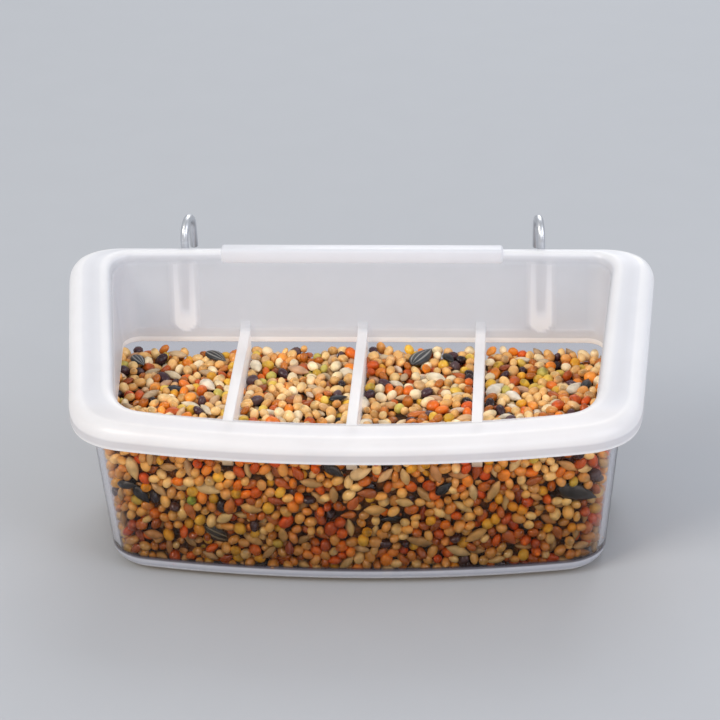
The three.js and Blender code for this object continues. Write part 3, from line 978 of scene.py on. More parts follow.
    def bore_at(self, x: float) -> Piece:
        """Makes the body that is cut away for the hook's wire."""
        a = np.linspace(0, 2 * math.pi, 33)[:-1]
        circle = np.column_stack([x + self.bore * np.cos(a), self.socket_y + self.bore * np.sin(a)])
        ends = (self.top + self.bore_over, self.top + 40)
        rings = [np.column_stack([circle, np.full(len(a), z)]) for z in ends]
        return self.milky(ring_body("bore", rings), MILK.bore)

    def raised_land(self) -> Piece:
        """Makes the raised strip along the middle of the back rim."""
        r, back = self.land_round, SIZES.back_line
        front = self.draft * (self.back_z - self.plug_z) - self.land_front
        low, high = self.back_z - self.land_deep, self.back_z + self.land_high
        a = np.linspace(0, math.pi / 2, 6)
        shape = np.vstack([
            [(front, low + 0.3), (front + 0.5, low - 0.4), (back, low - 0.4)],
            np.column_stack([back - r + r * np.cos(a), high - r + r * np.sin(a)]),
            np.column_stack([front + r - r * np.sin(a), high - r + r * np.cos(a)]),
        ])
        ends = (-self.land_half, self.land_half)
        return self.extrude("land", shape, ends, 0, self.land_edge, MILK.land)

    def build(self) -> Piece:
        """Makes the guard as one moulding."""
        piece = self.shell()
        added = [self.seat(), self.raised_land()]
        added += [self.divider(k * self.pitch) for k in (-1, 0, 1)]
        added += [self.socket(k * self.socket_x) for k in (-1, 1)]
        for body in added:
            combine(piece, body, "UNION")
        for k in (-1, 1):
            combine(piece, self.bore_at(k * self.socket_x), "DIFFERENCE")
        smooth(piece, 38)
        dress(piece, FrostedPolypropylene().material(), "guard")
        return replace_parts(piece, "guard")


@dataclass
class WireHook:
    """One wire hook: a shank in its socket, a crook over the cage bar and a short splayed tail."""

    name: str
    x: float
    turn: float  # degrees that the crook is turned from straight back
    y: float = FrostedGuard.socket_y
    wire: float = 1.05
    crook: float = 4.0
    tail_low: float = 5.8
    splay: float = 0.7
    start: float = 5.4  # the shank's foot over the cup's rim
    crook_up: float = 1.35  # the crook's centre over the guard's back rim
    end_round: float = 0.25
    sides: int = 24

    def path(self) -> Array:
        """Points along the wire's centre line."""
        guard = FrostedGuard()
        low, crook_z = guard.top + self.start, guard.back_z + self.crook_up
        a = np.linspace(0, math.pi, 25)[1:]
        bend = np.column_stack([self.crook * (1 - np.cos(a)), crook_z + self.crook * np.sin(a)])
        shank = np.column_stack([np.zeros(6), np.linspace(low, crook_z, 6)])
        tail = [(2 * self.crook + self.splay, crook_z - self.tail_low)]
        along = np.vstack([shank, bend, tail])
        turn = math.radians(-self.turn)
        return np.column_stack([
            self.x - math.sin(turn) * along[:, 0], self.y + math.cos(turn) * along[:, 0], along[:, 1],
        ])

    def tree(self) -> GeometryTree:
        """Builds the nodes that sweep a round wire along the piece's own edges."""
        inputs = {"Path": "Geometry", "Wire radius": "Float", "Finish": "Material"}
        tree, given = new_group("drawn_wire", inputs, "Wire")
        line = add_node(tree, "GeometryNodeMeshToCurve", {"Mesh": given["Path"]})
        circle = add_node(tree, "GeometryNodeCurvePrimitiveCircle",
                          {"Resolution": self.sides, "Radius": given["Wire radius"]})
        swept = add_node(tree, "GeometryNodeCurveToMesh", {
            "Curve": line.outputs[0], "Profile Curve": circle.outputs[0], "Fill Caps": True,
        })
        return end_group(tree, swept.outputs[0], given["Finish"])

    def build(self, finish: Material) -> Piece:
        """Makes the hook.

        Args:
            finish: the wire's material.

        Returns:
            The piece, standing for the CAD node of the same side.
        """
        points = placed(self.path()) * MM
        mesh = bpy.data.meshes.new(self.name)
        mesh.from_pydata(points.tolist(), [(i, i + 1) for i in range(len(points) - 1)], [])
        piece = add_object(f"{self.name}_wire", mesh)
        set_inputs(piece, self.tree(), {"Wire radius": self.wire * MM, "Finish": finish})
        baked(piece)
        outward(piece.data)
        self.round_ends(piece.data)
        smooth(piece, 50)
        dress(piece, finish, self.name)
        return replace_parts(piece, self.name)

    def round_ends(self, mesh: Mesh) -> None:
        """Takes the sharp edge off the wire's two cut ends."""
        with editing(mesh) as work:
            edges = list({e for f in work.faces if len(f.verts) > 4 for e in f.edges})
            bmesh.ops.bevel(work, geom=edges, offset=self.end_round * MM, segments=2, profile=0.5,
                            affect="EDGES")


class Form(Enum):
    """Outline of a grain along its length: how wide it is at a place from 0 to 1."""

    ROUND = "round"
    SPINDLE = "spindle"
    DROP = "drop"

    def width(self, t: Array) -> Array:
        """Half width at places along the grain, as a share of the widest."""
        if self is Form.ROUND:
            return np.sqrt(np.clip(1 - (2 * t - 1) ** 2, 0, 1))
        if self is Form.SPINDLE:
            return np.sin(math.pi * t) ** 0.85
        return np.sin(math.pi * t ** 0.72) ** 0.9


@dataclass(frozen=True)
class Grain:
    """One kind of seed in the mix."""

    name: str
    share: float
    length: tuple[float, float]
    width: float  # as a share of the length
    thick: float  # as a share of the width
    form: Form
    husk: SeedHusk
    sides: int = 8
    rings: int = 6
    uneven: tuple[float, float, float] = (0.1, 0.12, 0.16)  # how far shapes differ along, across and through

    @property
    def long(self) -> bool:
        """True for a grain that lies flat rather than packing as a ball."""
        return self.width < 0.7

    @property
    def volume(self) -> float:
        """Volume of a middling grain, in cubic millimetres."""
        return (4 / 3) * math.pi * (np.mean(self.length) / 2) ** 3 * self.width ** 2 * self.thick

    def template(self) -> Piece:
        """Makes one grain one millimetre long, along x, with its tip at low v."""
        t = (1 - np.cos(np.linspace(0, math.pi, self.rings + 1)))[1:-1] / 2
        a = np.linspace(0, 2 * math.pi, self.sides + 1)[:-1]
        r = self.form.width(t)[:, None] * self.width / 2
        along = np.repeat(t[:, None] - 0.5, self.sides, 1)
        body = np.stack([along, r * np.cos(a), r * np.sin(a) * self.thick], 2)
        points = np.vstack([body.reshape(-1, 3), [(-0.5, 0, 0), (0.5, 0, 0)]])
        n, rows = self.sides, len(t)
        faces = ring_faces(n, rows) + [(rows * n, (i + 1) % n, i) for i in range(n)]
        faces += [(rows * n + 1, (rows - 1) * n + i, (rows - 1) * n + (i + 1) % n) for i in range(n)]
        piece = new_piece(f"one_{self.name}", points, faces)
        uv = piece.data.uv_layers.new(name="grain")
        for loop in piece.data.loops:
            p = points[loop.vertex_index]
            uv.data[loop.index].uv = (math.atan2(p[2], p[1]) / (2 * math.pi) + 0.5, p[0] + 0.5)
        return piece


PALE_MILLET = SeedHusk("pale_millet_husk", (
    "#fbd292", "#fde2b0", "#eeb870", "#ffe8bc", "#f8ce8a", "#e4b47a",
), 0.2)
TAN_MILLET = SeedHusk("tan_millet_husk", (
    "#f2ba72", "#eaa254", "#d0792e", "#e6ae64", "#ba6820", "#f4c27a",
), 0.2)
RED_MILLET = SeedHusk("red_millet_husk", (
    "#f28a26", "#e8701e", "#f49c40", "#dc5e1e", "#ec7c2a", "#c0581e",
), 0.3)
YELLOW_MILLET = SeedHusk("yellow_millet_husk", (
    "#f2be40", "#e6b43c", "#f6d05a", "#dab03a", "#ccbc5c", "#eeaa2e", "#eac252",
), 0.32)
DARK_SEED = SeedHusk("dark_round_husk", ("#3a2228", "#452c34", "#2a1a1e", "#52363c", "#5a4448"), 0.22)
CANARY = SeedHusk("canary_seed_husk", ("#d9c4a0", "#cbb08a", "#e6d6ba", "#b99c78", "#d8bfa6"), 0.36)
LINSEED = SeedHusk("linseed_husk", ("#b45a20", "#98481c", "#c66c2a", "#d0803c", "#aa6430"), 0.22)
OAT = SeedHusk("oat_groat", ("#e6cfa8", "#dcbc90", "#f0e0c0", "#d4ac80", "#c89c78"), 0.38)
SAFFLOWER = SeedHusk("safflower_husk", ("#eadbc2", "#e2d2b6", "#eee2ce"), 0.4)
BLACK_SEED = SeedHusk("black_sunflower_husk", ("#232326", "#2e2e32", "#1b1b1d"), 0.34)
SUNFLOWER = SeedHusk("striped_sunflower_husk", ("#2b2c2e", "#36383a"), 0.42, stripe="#8f8d88", stripes=7)
DYED = SeedHusk("dyed_pellet", ("#7fb48e", "#3d5a68", "#9cc060", "#8cbf9a"), 0.4)

GRAINS = (
    Grain("pale_millet", 0.250, (2.8, 4.0), 0.77, 0.90, Form.ROUND, PALE_MILLET),
    Grain("tan_millet", 0.246, (2.7, 3.9), 0.77, 0.88, Form.ROUND, TAN_MILLET),
    Grain("red_millet", 0.120, (3.0, 4.1), 0.79, 0.86, Form.ROUND, RED_MILLET),
    Grain("yellow_millet", 0.075, (2.8, 3.6), 0.86, 0.92, Form.ROUND, YELLOW_MILLET),
    Grain("dark_seed", 0.045, (3.1, 4.2), 0.78, 0.85, Form.ROUND, DARK_SEED),
    Grain("dyed_pellet", 0.002, (2.4, 2.9), 0.95, 1.0, Form.ROUND, DYED),
    Grain("canary_seed", 0.080, (4.2, 5.8), 0.42, 0.8, Form.SPINDLE, CANARY, rings=8),
    Grain("linseed", 0.055, (3.8, 5.2), 0.56, 0.6, Form.DROP, LINSEED, rings=8),
    Grain("oat_groat", 0.060, (4.6, 6.4), 0.45, 0.8, Form.SPINDLE, OAT, rings=8),
    Grain("safflower", 0.010, (6.0, 7.4), 0.52, 0.75, Form.DROP, SAFFLOWER, rings=8),
    Grain("black_seed", 0.012, (4.6, 6.2), 0.52, 0.62, Form.DROP, BLACK_SEED, sides=10, rings=8),
    Grain("sunflower_seed", 0.002, (8.5, 10.5), 0.48, 0.5, Form.DROP, SUNFLOWER, sides=14, rings=10),
)


@dataclass(frozen=True)
class LaidGrain:
    """A large seed that stands out in the mix, at a place of its own."""

    kind: str
    place: tuple[float, float, float]
    length: float
    heading: float  # degrees from level, in the surface that it lies in


LAID = tuple(LaidGrain(*row) for row in (
    ("black_seed", (55.4, -48.7, 23.8), 11.2, -24),
    ("black_seed", (-53.4, -48.9, 22.8), 6.2, -50),
    ("black_seed", (-57.2, -48.5, 25.2), 5.4, 8),
    ("black_seed", (-4.6, -55.2, 33.6), 6.4, -35),
    ("safflower", (-55.3, -49.2, 30.0), 6.6, -75),
    ("safflower", (2.2, -55.2, 32.6), 6.8, 25),
    ("oat_groat", (-25.5, -53.0, 21.3), 6.4, -10),
    ("linseed", (-41.1, -51.0, 19.1), 5.4, -70),
    ("canary_seed", (16.4, -53.1, 12.2), 6.6, -12),
    ("oat_groat", (30.6, -52.0, 13.4), 6.8, 32),
    ("canary_seed", (26.0, -52.2, 8.8), 7.0, -22),
    ("canary_seed", (34.9, -52.4, 26.3), 7.2, 62),
    ("black_seed", (22.6, -53.8, 27.9), 5.0, 40),
    ("oat_groat", (-51.1, -48.7, 11.0), 5.6, -8),
    ("linseed", (38.8, -50.8, 12.2), 5.2, -55),
    ("sunflower_seed", (15.5, -4.6, 39.6), 10.2, 62),
    ("sunflower_seed", (-38.3, -3.9, 39.6), 7.6, -44),
    ("sunflower_seed", (-58.2, -7.6, 39.6), 6.8, -58),
    ("oat_groat", (19.5, -15.0, 39.6), 7.4, -38),
    ("safflower", (34.9, -20.9, 39.6), 7.4, 58),
    ("safflower", (39.6, -25.0, 39.6), 6.2, -45),
    ("safflower", (55.0, -20.6, 39.6), 6.4, 60),
    ("safflower", (-38.7, -20.6, 39.6), 6.6, -50),
    ("oat_groat", (-27.4, -9.3, 39.6), 7.0, -72),
    ("oat_groat", (-16.3, -10.9, 39.6), 7.0, -28),
    ("black_seed", (58.0, -19.0, 39.6), 5.4, 80),
    ("canary_seed", (-53.0, -25.6, 39.6), 6.2, 52),
    ("black_seed", (-4.9, -26.8, 39.6), 5.0, 20),
    ("black_seed", (22.5, -5.3, 39.6), 5.2, -60),
))


@dataclass
class SeedBed:
    """The room that the seed fills, and how grains settle in it."""

    gap: float = 0.2
    depth: float = 3.5
    top: float = 39.6
    sink: float = 0.35  # how much lower the even surface lies than the top
    heave: float = 0.55
    bank: float = 0.6  # how much higher the seed lies along the back wall
    blade_clear: float = 0.12
    fill: float = 0.78  # share of the room that grains take up
    give: float = 0.94  # how close two grains may lie, as a share of their radii
    rounds: int = 56
    renew: int = 6

    def __post_init__(self) -> None:
        cup = ClearCup()
        steps = Division(16, 6, 6, 6, 6)
        self.low, self.high = SIZES.base.stations(steps), SIZES.rim.stations(steps)
        self.inset, self.floor = cup.wall + self.gap, cup.floor + self.gap
        self.corner = cup.base_round - cup.wall
        guard = FrostedGuard()
        self.blades = np.array([-guard.pitch, 0, guard.pitch])
        self.blade_half = guard.blade_thick / 2 + self.blade_clear
        self.blade_foot = guard.blade_top - guard.blade_high
        self.rng = np.random.default_rng(RANDOM_SEED)

    def surface(self, x: Array, y: Array) -> Array:
        """Height of the seed over the plan: level, with slow rises and hollows."""
        slow = np.sin(x * 0.071 + 1.3) * np.cos(y * 0.11 + 0.4) + 0.6 * np.sin(x * 0.19 - y * 0.13)
        return self.top + self.heave * slow - self.sink + self.bank * np.clip((y + 16) / 12, 0, 1)

    def walls(self, p: Array) -> tuple[Array, Array]:
        """Signed distance to the cup's inner wall, and the way out of it.

        Args:
            p: points, rows of x, y, z.

        Returns:
            The distance, below 0 inside, and the wall's outward direction at each point.
        """
        t = np.clip(p[:, 2] / SIZES.cup_height, 0, 1)[:, None, None]
        line = self.low[None] * (1 - t) + self.high[None] * t
        normal = line[..., 2:] / np.linalg.norm(line[..., 2:], axis=2, keepdims=True)
        d = ((p[:, None, :2] - line[..., :2]) * normal).sum(2) + self.inset
        above = np.clip(p[:, 2] - self.floor, 0, self.corner)
        across = np.sqrt(np.clip(self.corner ** 2 - (self.corner - above) ** 2, 0, None))
        d += (self.corner - across)[:, None]
        nearest = d.argmax(1)
        rows = np.arange(len(p))
        return d[rows, nearest], normal[rows, nearest]

    def confine(self, p: Array, r: Array, lift: Array) -> Array:
        """Moves grains back into the room.

        Args:
            p: the grains' centres.
            r: their radii.
            lift: how far each may stand above the even surface.

        Returns:
            The moved centres.
        """
        p = p.copy()
        for _ in range(2):
            d, normal = self.walls(p)
            p[:, :2] -= normal * np.clip(d + r, 0, None)[:, None]
            near = np.abs(p[:, :1] - self.blades).argmin(1)
            side = p[:, 0] - self.blades[near]
            room = self.blade_half + r - np.abs(side)
            push = (room > 0) & (p[:, 2] > self.blade_foot - 0.4 * r)
            p[:, 0] += np.where(push, np.where(side < 0, -room, room), 0)
        top = self.surface(p[:, 0], p[:, 1]) + lift - r
        p[:, 2] = np.clip(p[:, 2], self.floor + r, np.maximum(top, self.floor + r))
        return p

    def depth_of(self, p: Array) -> tuple[Array, Array]:
        """How deep points lie under the seed's nearest outside, and the way out to it."""
        d, normal = self.walls(p)
        up, down = self.surface(p[:, 0], p[:, 1]) - p[:, 2], p[:, 2] - self.floor
        depth = np.minimum.reduce([-d, up, down])
        way = np.column_stack([normal, np.zeros(len(p))])
        way[up <= depth] = (0, 0, 1)
        way[down <= depth] = (0, 0, -1)
        return depth, way

    def scatter(self, spacing: float, low: float, high: float) -> Array:
        """Points spread through the seed between two depths, on a jittered lattice.

        Args:
            spacing: distance between neighbours.
            low: least depth.
            high: most depth.

        Returns:
            The points, in random order.
        """
        half, front, back = SIZES.rim.half, SIZES.rim.front, SIZES.rim.back
        axes = [np.arange(a, b, spacing) for a, b in ((-half, half), (front, back), (0, self.top + 2))]
        grid = np.stack(np.meshgrid(*axes, indexing="ij"), -1).reshape(-1, 3)
        grid[:, 0] += (np.round(grid[:, 2] / spacing) % 2) * spacing / 2
        grid += self.rng.uniform(-0.3, 0.3, grid.shape) * spacing
        depth, _ = self.depth_of(grid)
        grid = grid[(depth > low) & (depth < high)]
        return grid[self.rng.permutation(len(grid))]

    def settle(self, p: Array, r: Array, fixed: Array) -> Array:
        """Pushes overlapping grains apart until they lie beside each other.

        Args:
            p: the centres.
            r: the radii.
            fixed: True for those that stay where they are.

        Returns:
            The settled centres.
        """
        lift = self.rng.uniform(-0.5, 0.6, len(p))
        reach = 2 * r.max() * 1.1
        free = np.where(fixed, 0.0, 1.0)
        pairs = np.zeros((0, 2), int)
        for step in range(self.rounds):
            if step % self.renew == 0:
                pairs = near_pairs(p, reach)
            i, j = pairs.T
            gap = p[i] - p[j]
            apart = np.linalg.norm(gap, axis=1) + 1e-9
            over = np.clip((r[i] + r[j]) * self.give - apart, 0, None)
            push = gap / apart[:, None] * over[:, None]
            total = np.maximum(free[i] + free[j], 1)
            move = np.zeros_like(p)
            for k in range(3):
                move[:, k] += np.bincount(i, push[:, k] * free[i] / total, len(p))
                move[:, k] -= np.bincount(j, push[:, k] * free[j] / total, len(p))
            p = np.where(fixed[:, None], p, self.confine(p + 0.8 * move, r, lift))
        return p


def near_pairs(points: Array, reach: float) -> Array:
    """Finds every pair of points closer than a distance.

    Args:
        points: rows of x, y, z.
        reach: the distance.

    Returns:
        Rows of two point numbers.
    """
    tree = kdtree.KDTree(len(points))
    for n, point in enumerate(points):
        tree.insert(point, n)
    tree.balance()
    pairs = [(n, m) for n, point in enumerate(points) for _, m, _ in tree.find_range(point, reach) if m > n]
    return np.array(pairs, int).reshape(-1, 2)


@dataclass
class SeedMix:
    """The mixed seed: a few kinds of grain packed against the cup's wall and over the top."""

    bed: SeedBed = field(default_factory=SeedBed)
    core_in: float = 2.6  # the core lies this far inside the room's walls and floor
    core_down: float = 3.4  # and this far under its top
    slot_over: float = 0.4  # room in the core below a blade
    spacing: float = 1.9  # first distance between round grains, before they are pushed apart
    least_deep: float = 0.9
    long_spacing: float = 2.0
    long_least_deep: float = 0.8
    long_apart: float = 0.42  # closest two long grains may lie, as a share of their lengths
    long_tilt: float = 0.16  # how far long grains lean out of the seed's outside
    proud: float = 0.5  # how much higher the laid grains stand on the top

    def kinds(self, count: int, wanted: Callable[[Grain], bool]) -> Array:
        """Draws a kind for each of a number of grains from those wanted."""
        shares = np.array([g.share if wanted(g) else 0.0 for g in GRAINS])
        return self.bed.rng.choice(len(GRAINS), count, p=shares / shares.sum())

    def sizes(self, kinds: Array) -> Array:
        """Draws each grain's length."""
        span = np.array([g.length for g in GRAINS])[kinds]
        return span[:, 0] + (span[:, 1] - span[:, 0]) * self.bed.rng.random(len(kinds))

    def turned(self, way: Array, flat: Array) -> Array:
        """Turns grains at random, those in `flat` with their long side along the seed's outside.

        Args:
            way: the way out of the seed at each grain.
            flat: True for a grain that lies flat.

        Returns:
            One rotation matrix for each grain.
        """
        n = len(way)
        rng = self.bed.rng
        loose = rng.normal(size=(n, 3))
        z = np.where(flat[:, None], way + rng.normal(scale=self.long_tilt, size=(n, 3)), loose)
        z /= np.linalg.norm(z, axis=1, keepdims=True)
        x = np.cross(rng.normal(size=(n, 3)), z)
        x /= np.linalg.norm(x, axis=1, keepdims=True)
        return np.stack([x, np.cross(z, x), z], 2)

    def lay_long(self, total: int) -> tuple[Array, Array, Array, Array]:
        """Places the long grains, clear of each other.

        Args:
            total: how many grains of every kind there are.

        Returns:
            Their centres, kinds, lengths and rotations.
        """
        bed = self.bed
        share = sum(g.share for g in GRAINS if g.long)
        places = [g.place for g in LAID]
        points = np.vstack([places, bed.scatter(self.long_spacing, self.long_least_deep, bed.depth)])
        kinds = self.kinds(len(points), lambda g: g.long)
        lengths = self.sizes(kinds)
        names = [g.name for g in GRAINS]
        kinds[: len(LAID)] = [names.index(g.kind) for g in LAID]
        lengths[: len(LAID)] = [g.length for g in LAID]
        kept: list[int] = []
        vectors = [Vector(point) for point in points]
        reach = self.long_apart * lengths
        for n, v in enumerate(vectors):
            if n < len(LAID) or all((v - vectors[k]).length > reach[n] + reach[k] for k in kept):
                kept.append(n)
            if len(kept) == int(total * share):
                break
        points, kinds, lengths = points[kept], kinds[kept], lengths[kept]
        thick = np.array([g.width * g.thick for g in GRAINS])[kinds] * lengths / 2
        depth, way = bed.depth_of(points)
        laid = np.arange(len(points)) < len(LAID)
        seat = np.where(laid, thick - np.where(way[:, 2] > 0, self.proud, 0.0), np.maximum(depth, thick))
        points = points + way * (depth - seat)[:, None]
        turns = self.turned(way, np.full(len(points), True))
        for n, grain in enumerate(LAID):
            out = Vector(way[n])
            level = Vector((1, 0, 0)) if out.z > 0.5 else Vector((0, 0, 1)).cross(out)
            along = Matrix.Rotation(math.radians(grain.heading), 3, out) @ level
            turns[n] = np.column_stack([along, out.cross(along), out])
        return points, kinds, lengths, turns

    def chain(self, points: Array, kinds: Array, lengths: Array, turns: Array) -> tuple[Array, Array]:
        """Stands balls in for the long grains so that others settle round them.

        Args:
            points: centres of the long grains.
            kinds: their kinds.
            lengths: their lengths.
            turns: their rotations.

        Returns:
            The balls' centres and radii.
        """
        centres, radii = [], []
        for point, kind, length, turn in zip(points, kinds, lengths, turns):
            grain = GRAINS[kind]
            radius = length * grain.width * (1 + grain.thick) / 4
            reach = max(length / 2 - radius, 0)
            for s in np.linspace(-1, 1, 2 * max(1, round(reach / radius)) + 1):
                centres.append(point + turn[:, 0] * s * reach)
                radii.append(radius * (1 - 0.25 * abs(s)))
        return np.array(centres), np.array(radii)

    def pack(self) -> tuple[Array, Array, Array, Array]:
        """Packs the whole mix.

        Returns:
            Centres, kinds, lengths and rotations of all grains.
        """
        bed = self.bed
        coarse = bed.scatter(1.0, 0.0, bed.depth)
        total = int(len(coarse) * bed.fill / sum(g.share * g.volume for g in GRAINS))
        laid = self.lay_long(total)
        balls, ball_radii = self.chain(*laid)
        points = bed.scatter(self.spacing, self.least_deep, bed.depth)[: total - len(laid[0])]
        kinds = self.kinds(len(points), lambda g: not g.long)
        lengths = self.sizes(kinds)
        mid = np.array([(1 + g.width * (1 + g.thick)) / 6 for g in GRAINS])[kinds] * lengths
        fixed = np.arange(len(points) + len(balls)) >= len(points)
        settled = bed.settle(np.vstack([points, balls]), np.concatenate([mid, ball_radii]), fixed)
        points = settled[: len(points)]
        _, way = bed.depth_of(points)
        turns = self.turned(way, np.full(len(points), False))
        log.info("packed %d round and %d long grains", len(points), len(laid[0]))
        return tuple(np.concatenate(both) for both in zip((points, kinds, lengths, turns), laid))

    def tree(self) -> GeometryTree:
        """Builds the nodes that set one grain on each point, turned and sized as the point says."""
        tree, given = new_group("grains_on_points", {
            "Points": "Geometry", "Grain": "Object", "Size": "Float", "Shape change": "Vector",
            "Seed": "Int", "Husk": "Material",
        }, "Grains")
        grain = add_node(tree, "GeometryNodeObjectInfo", {"Object": given["Grain"]},
                         transform_space="ORIGINAL")
        turn, length = (
            add_node(tree, "GeometryNodeInputNamedAttribute", {"Name": name}, data_type=kind).outputs[0]
            for name, kind in (("turn", "FLOAT_VECTOR"), ("length", "FLOAT"))
        )
        change = add_node(tree, "FunctionNodeRandomValue",
                          {0: (-1, -1, -1), 1: (1, 1, 1), "Seed": given["Seed"]}, data_type="FLOAT_VECTOR")
        spread = add_node(tree, "ShaderNodeVectorMath",
                          {0: change.outputs[0], 1: given["Shape change"], 2: (1, 1, 1)},
                          operation="MULTIPLY_ADD")
        size = add_node(tree, "ShaderNodeMath", {0: length, 1: given["Size"]}, operation="MULTIPLY")
        size = add_node(tree, "ShaderNodeVectorMath", {0: spread.outputs[0], "Scale": size.outputs[0]},
                        operation="SCALE")
        grains = add_node(tree, "GeometryNodeInstanceOnPoints", {
            "Points": given["Points"], "Instance": grain.outputs["Geometry"], "Rotation": turn,
            "Scale": size.outputs[0],
        })
        tint = add_node(tree, "FunctionNodeRandomValue", {2: 0.0, 3: 0.999, "Seed": given["Seed"]},
                        data_type="FLOAT")
        stored = add_node(tree, "GeometryNodeStoreNamedAttribute",
                          {"Geometry": grains.outputs[0], "Name": "tint", "Value": tint.outputs[1]},
                          data_type="FLOAT", domain="INSTANCE")
        return end_group(tree, stored.outputs[0], given["Husk"])

    def core(self) -> Piece:
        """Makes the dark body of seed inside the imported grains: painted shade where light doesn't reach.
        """
        bed = self.bed
        low, high, deep = bed.floor + self.core_in, bed.top - self.core_down, bed.inset + self.core_in
        rings = []
        for z in np.linspace(low, high, 6):
            t = z / SIZES.cup_height
            rings.append(ring_at(bed.low * (1 - t) + bed.high * t, -deep, z))
        piece = ring_body("seed_core", rings, crease=40)
        half, front, back = bed.blade_half, SIZES.rim.front, SIZES.rim.back
        for x in bed.blades:
            shape = np.array([(x - half, front), (x + half, front), (x + half, back), (x - half, back)])
            ends = (bed.blade_foot - self.slot_over, bed.top + 9)
            slot = [np.column_stack([shape, np.full(4, z)]) for z in ends]
            combine(piece, ring_body("slot", slot), "DIFFERENCE")
        dress(piece, DeepSeed().material(), "cup")
        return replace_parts(piece, "seed_mix")

    def build(self) -> list[Piece]:
        """Makes the grains, one piece for each kind, and the core."""
        points, kinds, lengths, turns = self.pack()
        tree = self.tree()
        pieces = [self.core()]
        for number, grain in enumerate(GRAINS):
            mine = kinds == number
            mesh = bpy.data.meshes.new(grain.name)
            mesh.from_pydata((placed(points[mine]) * MM).tolist(), [], [])
            eulers = [Matrix(turn).to_euler() for turn in turns[mine]]
            mesh.attributes.new("turn", "FLOAT_VECTOR", "POINT").data.foreach_set("vector", np.ravel(eulers))
            mesh.attributes.new("length", "FLOAT", "POINT").data.foreach_set("value", lengths[mine])
            piece = add_object(f"seeds_{grain.name}", mesh)
            template, husk = grain.template(), grain.husk.material()
            set_inputs(piece, tree, {
                "Grain": template, "Size": 1.0, "Shape change": grain.uneven, "Seed": number, "Husk": husk,
            })
            baked(piece)
            bpy.data.objects.remove(template)
            pieces.append(dress(piece, husk, "cup"))
        return pieces


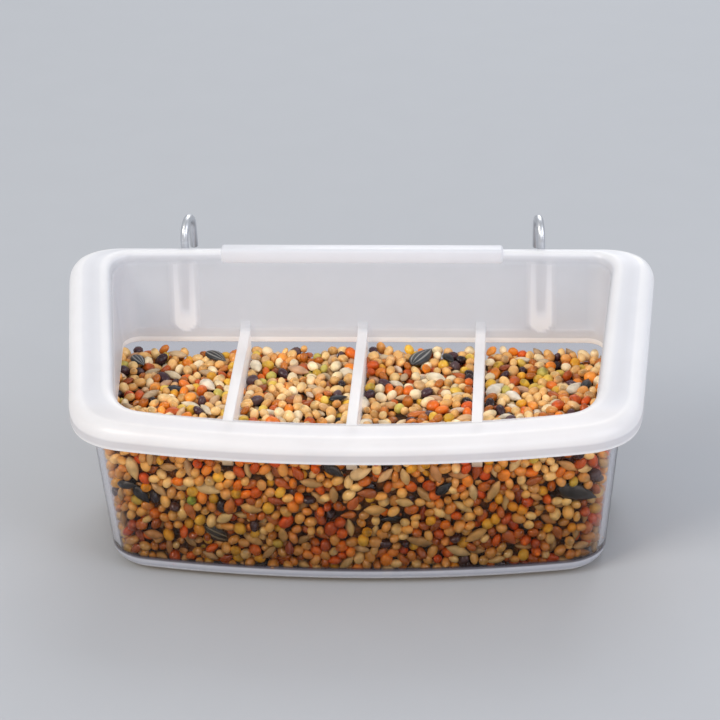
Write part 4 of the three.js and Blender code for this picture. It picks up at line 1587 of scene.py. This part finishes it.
@dataclass
class Studio:
    """A pale floor, soft lamps and the camera at the photograph's viewing angle."""

    floor_colour: str = "#babdc2"
    backdrop: str = "#c1c4c9"
    azimuth: float = 3.9
    elevation: float = 27.2
    roll: float = -1.53
    focal_pixels: float = 2900.0
    frame_pixels: float = 720.0
    distance: float = 748.0
    target: tuple[float, float, float] = (-0.2, 11.526, 41.5)
    lamps: tuple[tuple, ...] = (  # name, place and side in metres, power in watts, colour
        ("key", (-0.74, -0.62, 0.8), 0.5, 7.2, "#fff6ea"),
        ("fill", (0.8, -0.45, 0.5), 0.7, 3.9, "#f6f7ff"),
        ("front", (0.1, -1.2, 0.46), 0.6, 2.3, "#ffffff"),
        ("back", (0.1, 0.8, 0.7), 0.6, 3.6, "#ffffff"),
    )
    aim: tuple[float, float, float] = (0, 0, 0.04)  # where the lamps point
    sky: str = "#e6ebf2"
    sky_strength: float = 0.55
    floor_half: float = 4000.0
    floor_under: float = 0.05  # the floor lies this far under the part's foot
    board_mm: float = 1000 / 60  # the board's faint clouds

    def camera(self) -> Piece:
        """Makes the camera, turned as the photograph's is."""
        data = bpy.data.cameras.new("camera")
        data.sensor_width = 36.0
        data.lens = data.sensor_width * self.focal_pixels / self.frame_pixels
        data.clip_start, data.clip_end = 0.05, 20.0
        camera = add_object("camera", data)
        a, e, r = (math.radians(v) for v in (self.azimuth, self.elevation, self.roll))
        back = Vector((math.sin(a) * math.cos(e), -math.cos(a) * math.cos(e), math.sin(e)))
        right = Vector((0, 0, 1)).cross(back).normalized()
        up = back.cross(right)
        turned_right = right * math.cos(r) + up * math.sin(r)
        turned_up = up * math.cos(r) - right * math.sin(r)
        matrix = Matrix((turned_right, turned_up, back)).transposed().to_4x4()
        matrix.translation = (Vector(self.target) + back * self.distance) * MM
        camera.matrix_world = matrix
        bpy.context.scene.camera = camera
        return camera

    def floor(self) -> Piece:
        """Makes the floor, a pale painted board with a faint texture."""
        s = Shader("pale_board")
        tone = s.span(s.noise(self.board_mm, 3.0), to=(0.985, 1.015))
        colour = s.toned(linear(self.floor_colour), tone)
        h = self.floor_half
        corners = np.array([(x, y, -self.floor_under) for x, y in ((-h, -h), (h, -h), (h, h), (-h, h))])
        floor = new_piece("floor", corners, [(0, 1, 2, 3)])
        floor.data.materials.append(s.done(s.solid(colour, {"Roughness": 0.85, "Specular IOR Level": 0.2})))
        return floor

    def lamp(self, name: str, place: Sequence[float], size: float, power: float, colour: str) -> None:
        """Makes a soft lamp that faces the part.

        Args:
            name: the lamp's name.
            place: where it stands, in metres.
            size: its side in metres.
            power: its power in watts.
            colour: its colour.
        """
        data = bpy.data.lights.new(name, "AREA")
        data.shape, data.size, data.energy = "SQUARE", size, power
        data.color = linear(colour)[:3]
        lamp = add_object(name, data)
        lamp.location = place
        lamp.rotation_euler = (Vector(place) - Vector(self.aim)).to_track_quat("Z", "Y").to_euler()

    def light(self) -> None:
        """Makes the world's even light and the lamps."""
        world = bpy.data.worlds.new("studio")
        world.use_nodes = True
        tree = world.node_tree
        tree.nodes.clear()
        sky, seen = (
            add_node(tree, "ShaderNodeBackground", {"Color": linear(tone), "Strength": strength}).outputs[0]
            for tone, strength in ((self.sky, self.sky_strength), (self.backdrop, 1.0))
        )
        path = add_node(tree, "ShaderNodeLightPath").outputs
        plain = path["Is Camera Ray"]
        for kind in ("Is Glossy Ray", "Is Transmission Ray"):
            either = add_node(tree, "ShaderNodeMath", {0: plain, 1: path[kind]}, operation="MAXIMUM")
            plain = either.outputs[0]
        mix = add_node(tree, "ShaderNodeMixShader", {"Fac": plain, 1: sky, 2: seen})
        add_node(tree, "ShaderNodeOutputWorld", {"Surface": mix.outputs[0]})
        bpy.context.scene.world = world
        for row in self.lamps:
            self.lamp(*row)
        bpy.context.scene.view_settings.view_transform = "Standard"


def main() -> None:
    """Builds the part's looks and the studio in order."""
    logging.basicConfig(level=logging.INFO, format="%(message)s")
    studio = Studio()
    studio.camera()
    finish = DrawnSteelWire().material()
    made = [
        ClearCup().build(),
        FrostedGuard().build(),
        WireHook("hook_left", -FrostedGuard.socket_x, 9.0).build(finish),
        WireHook("hook_right", FrostedGuard.socket_x, -8.0).build(finish),
        *SeedMix().build(),
    ]
    for piece in made:
        log.info("%s: %d faces", piece.name, len(piece.data.polygons))
    studio.floor()
    studio.light()


if __name__ == "__main__":
    main()
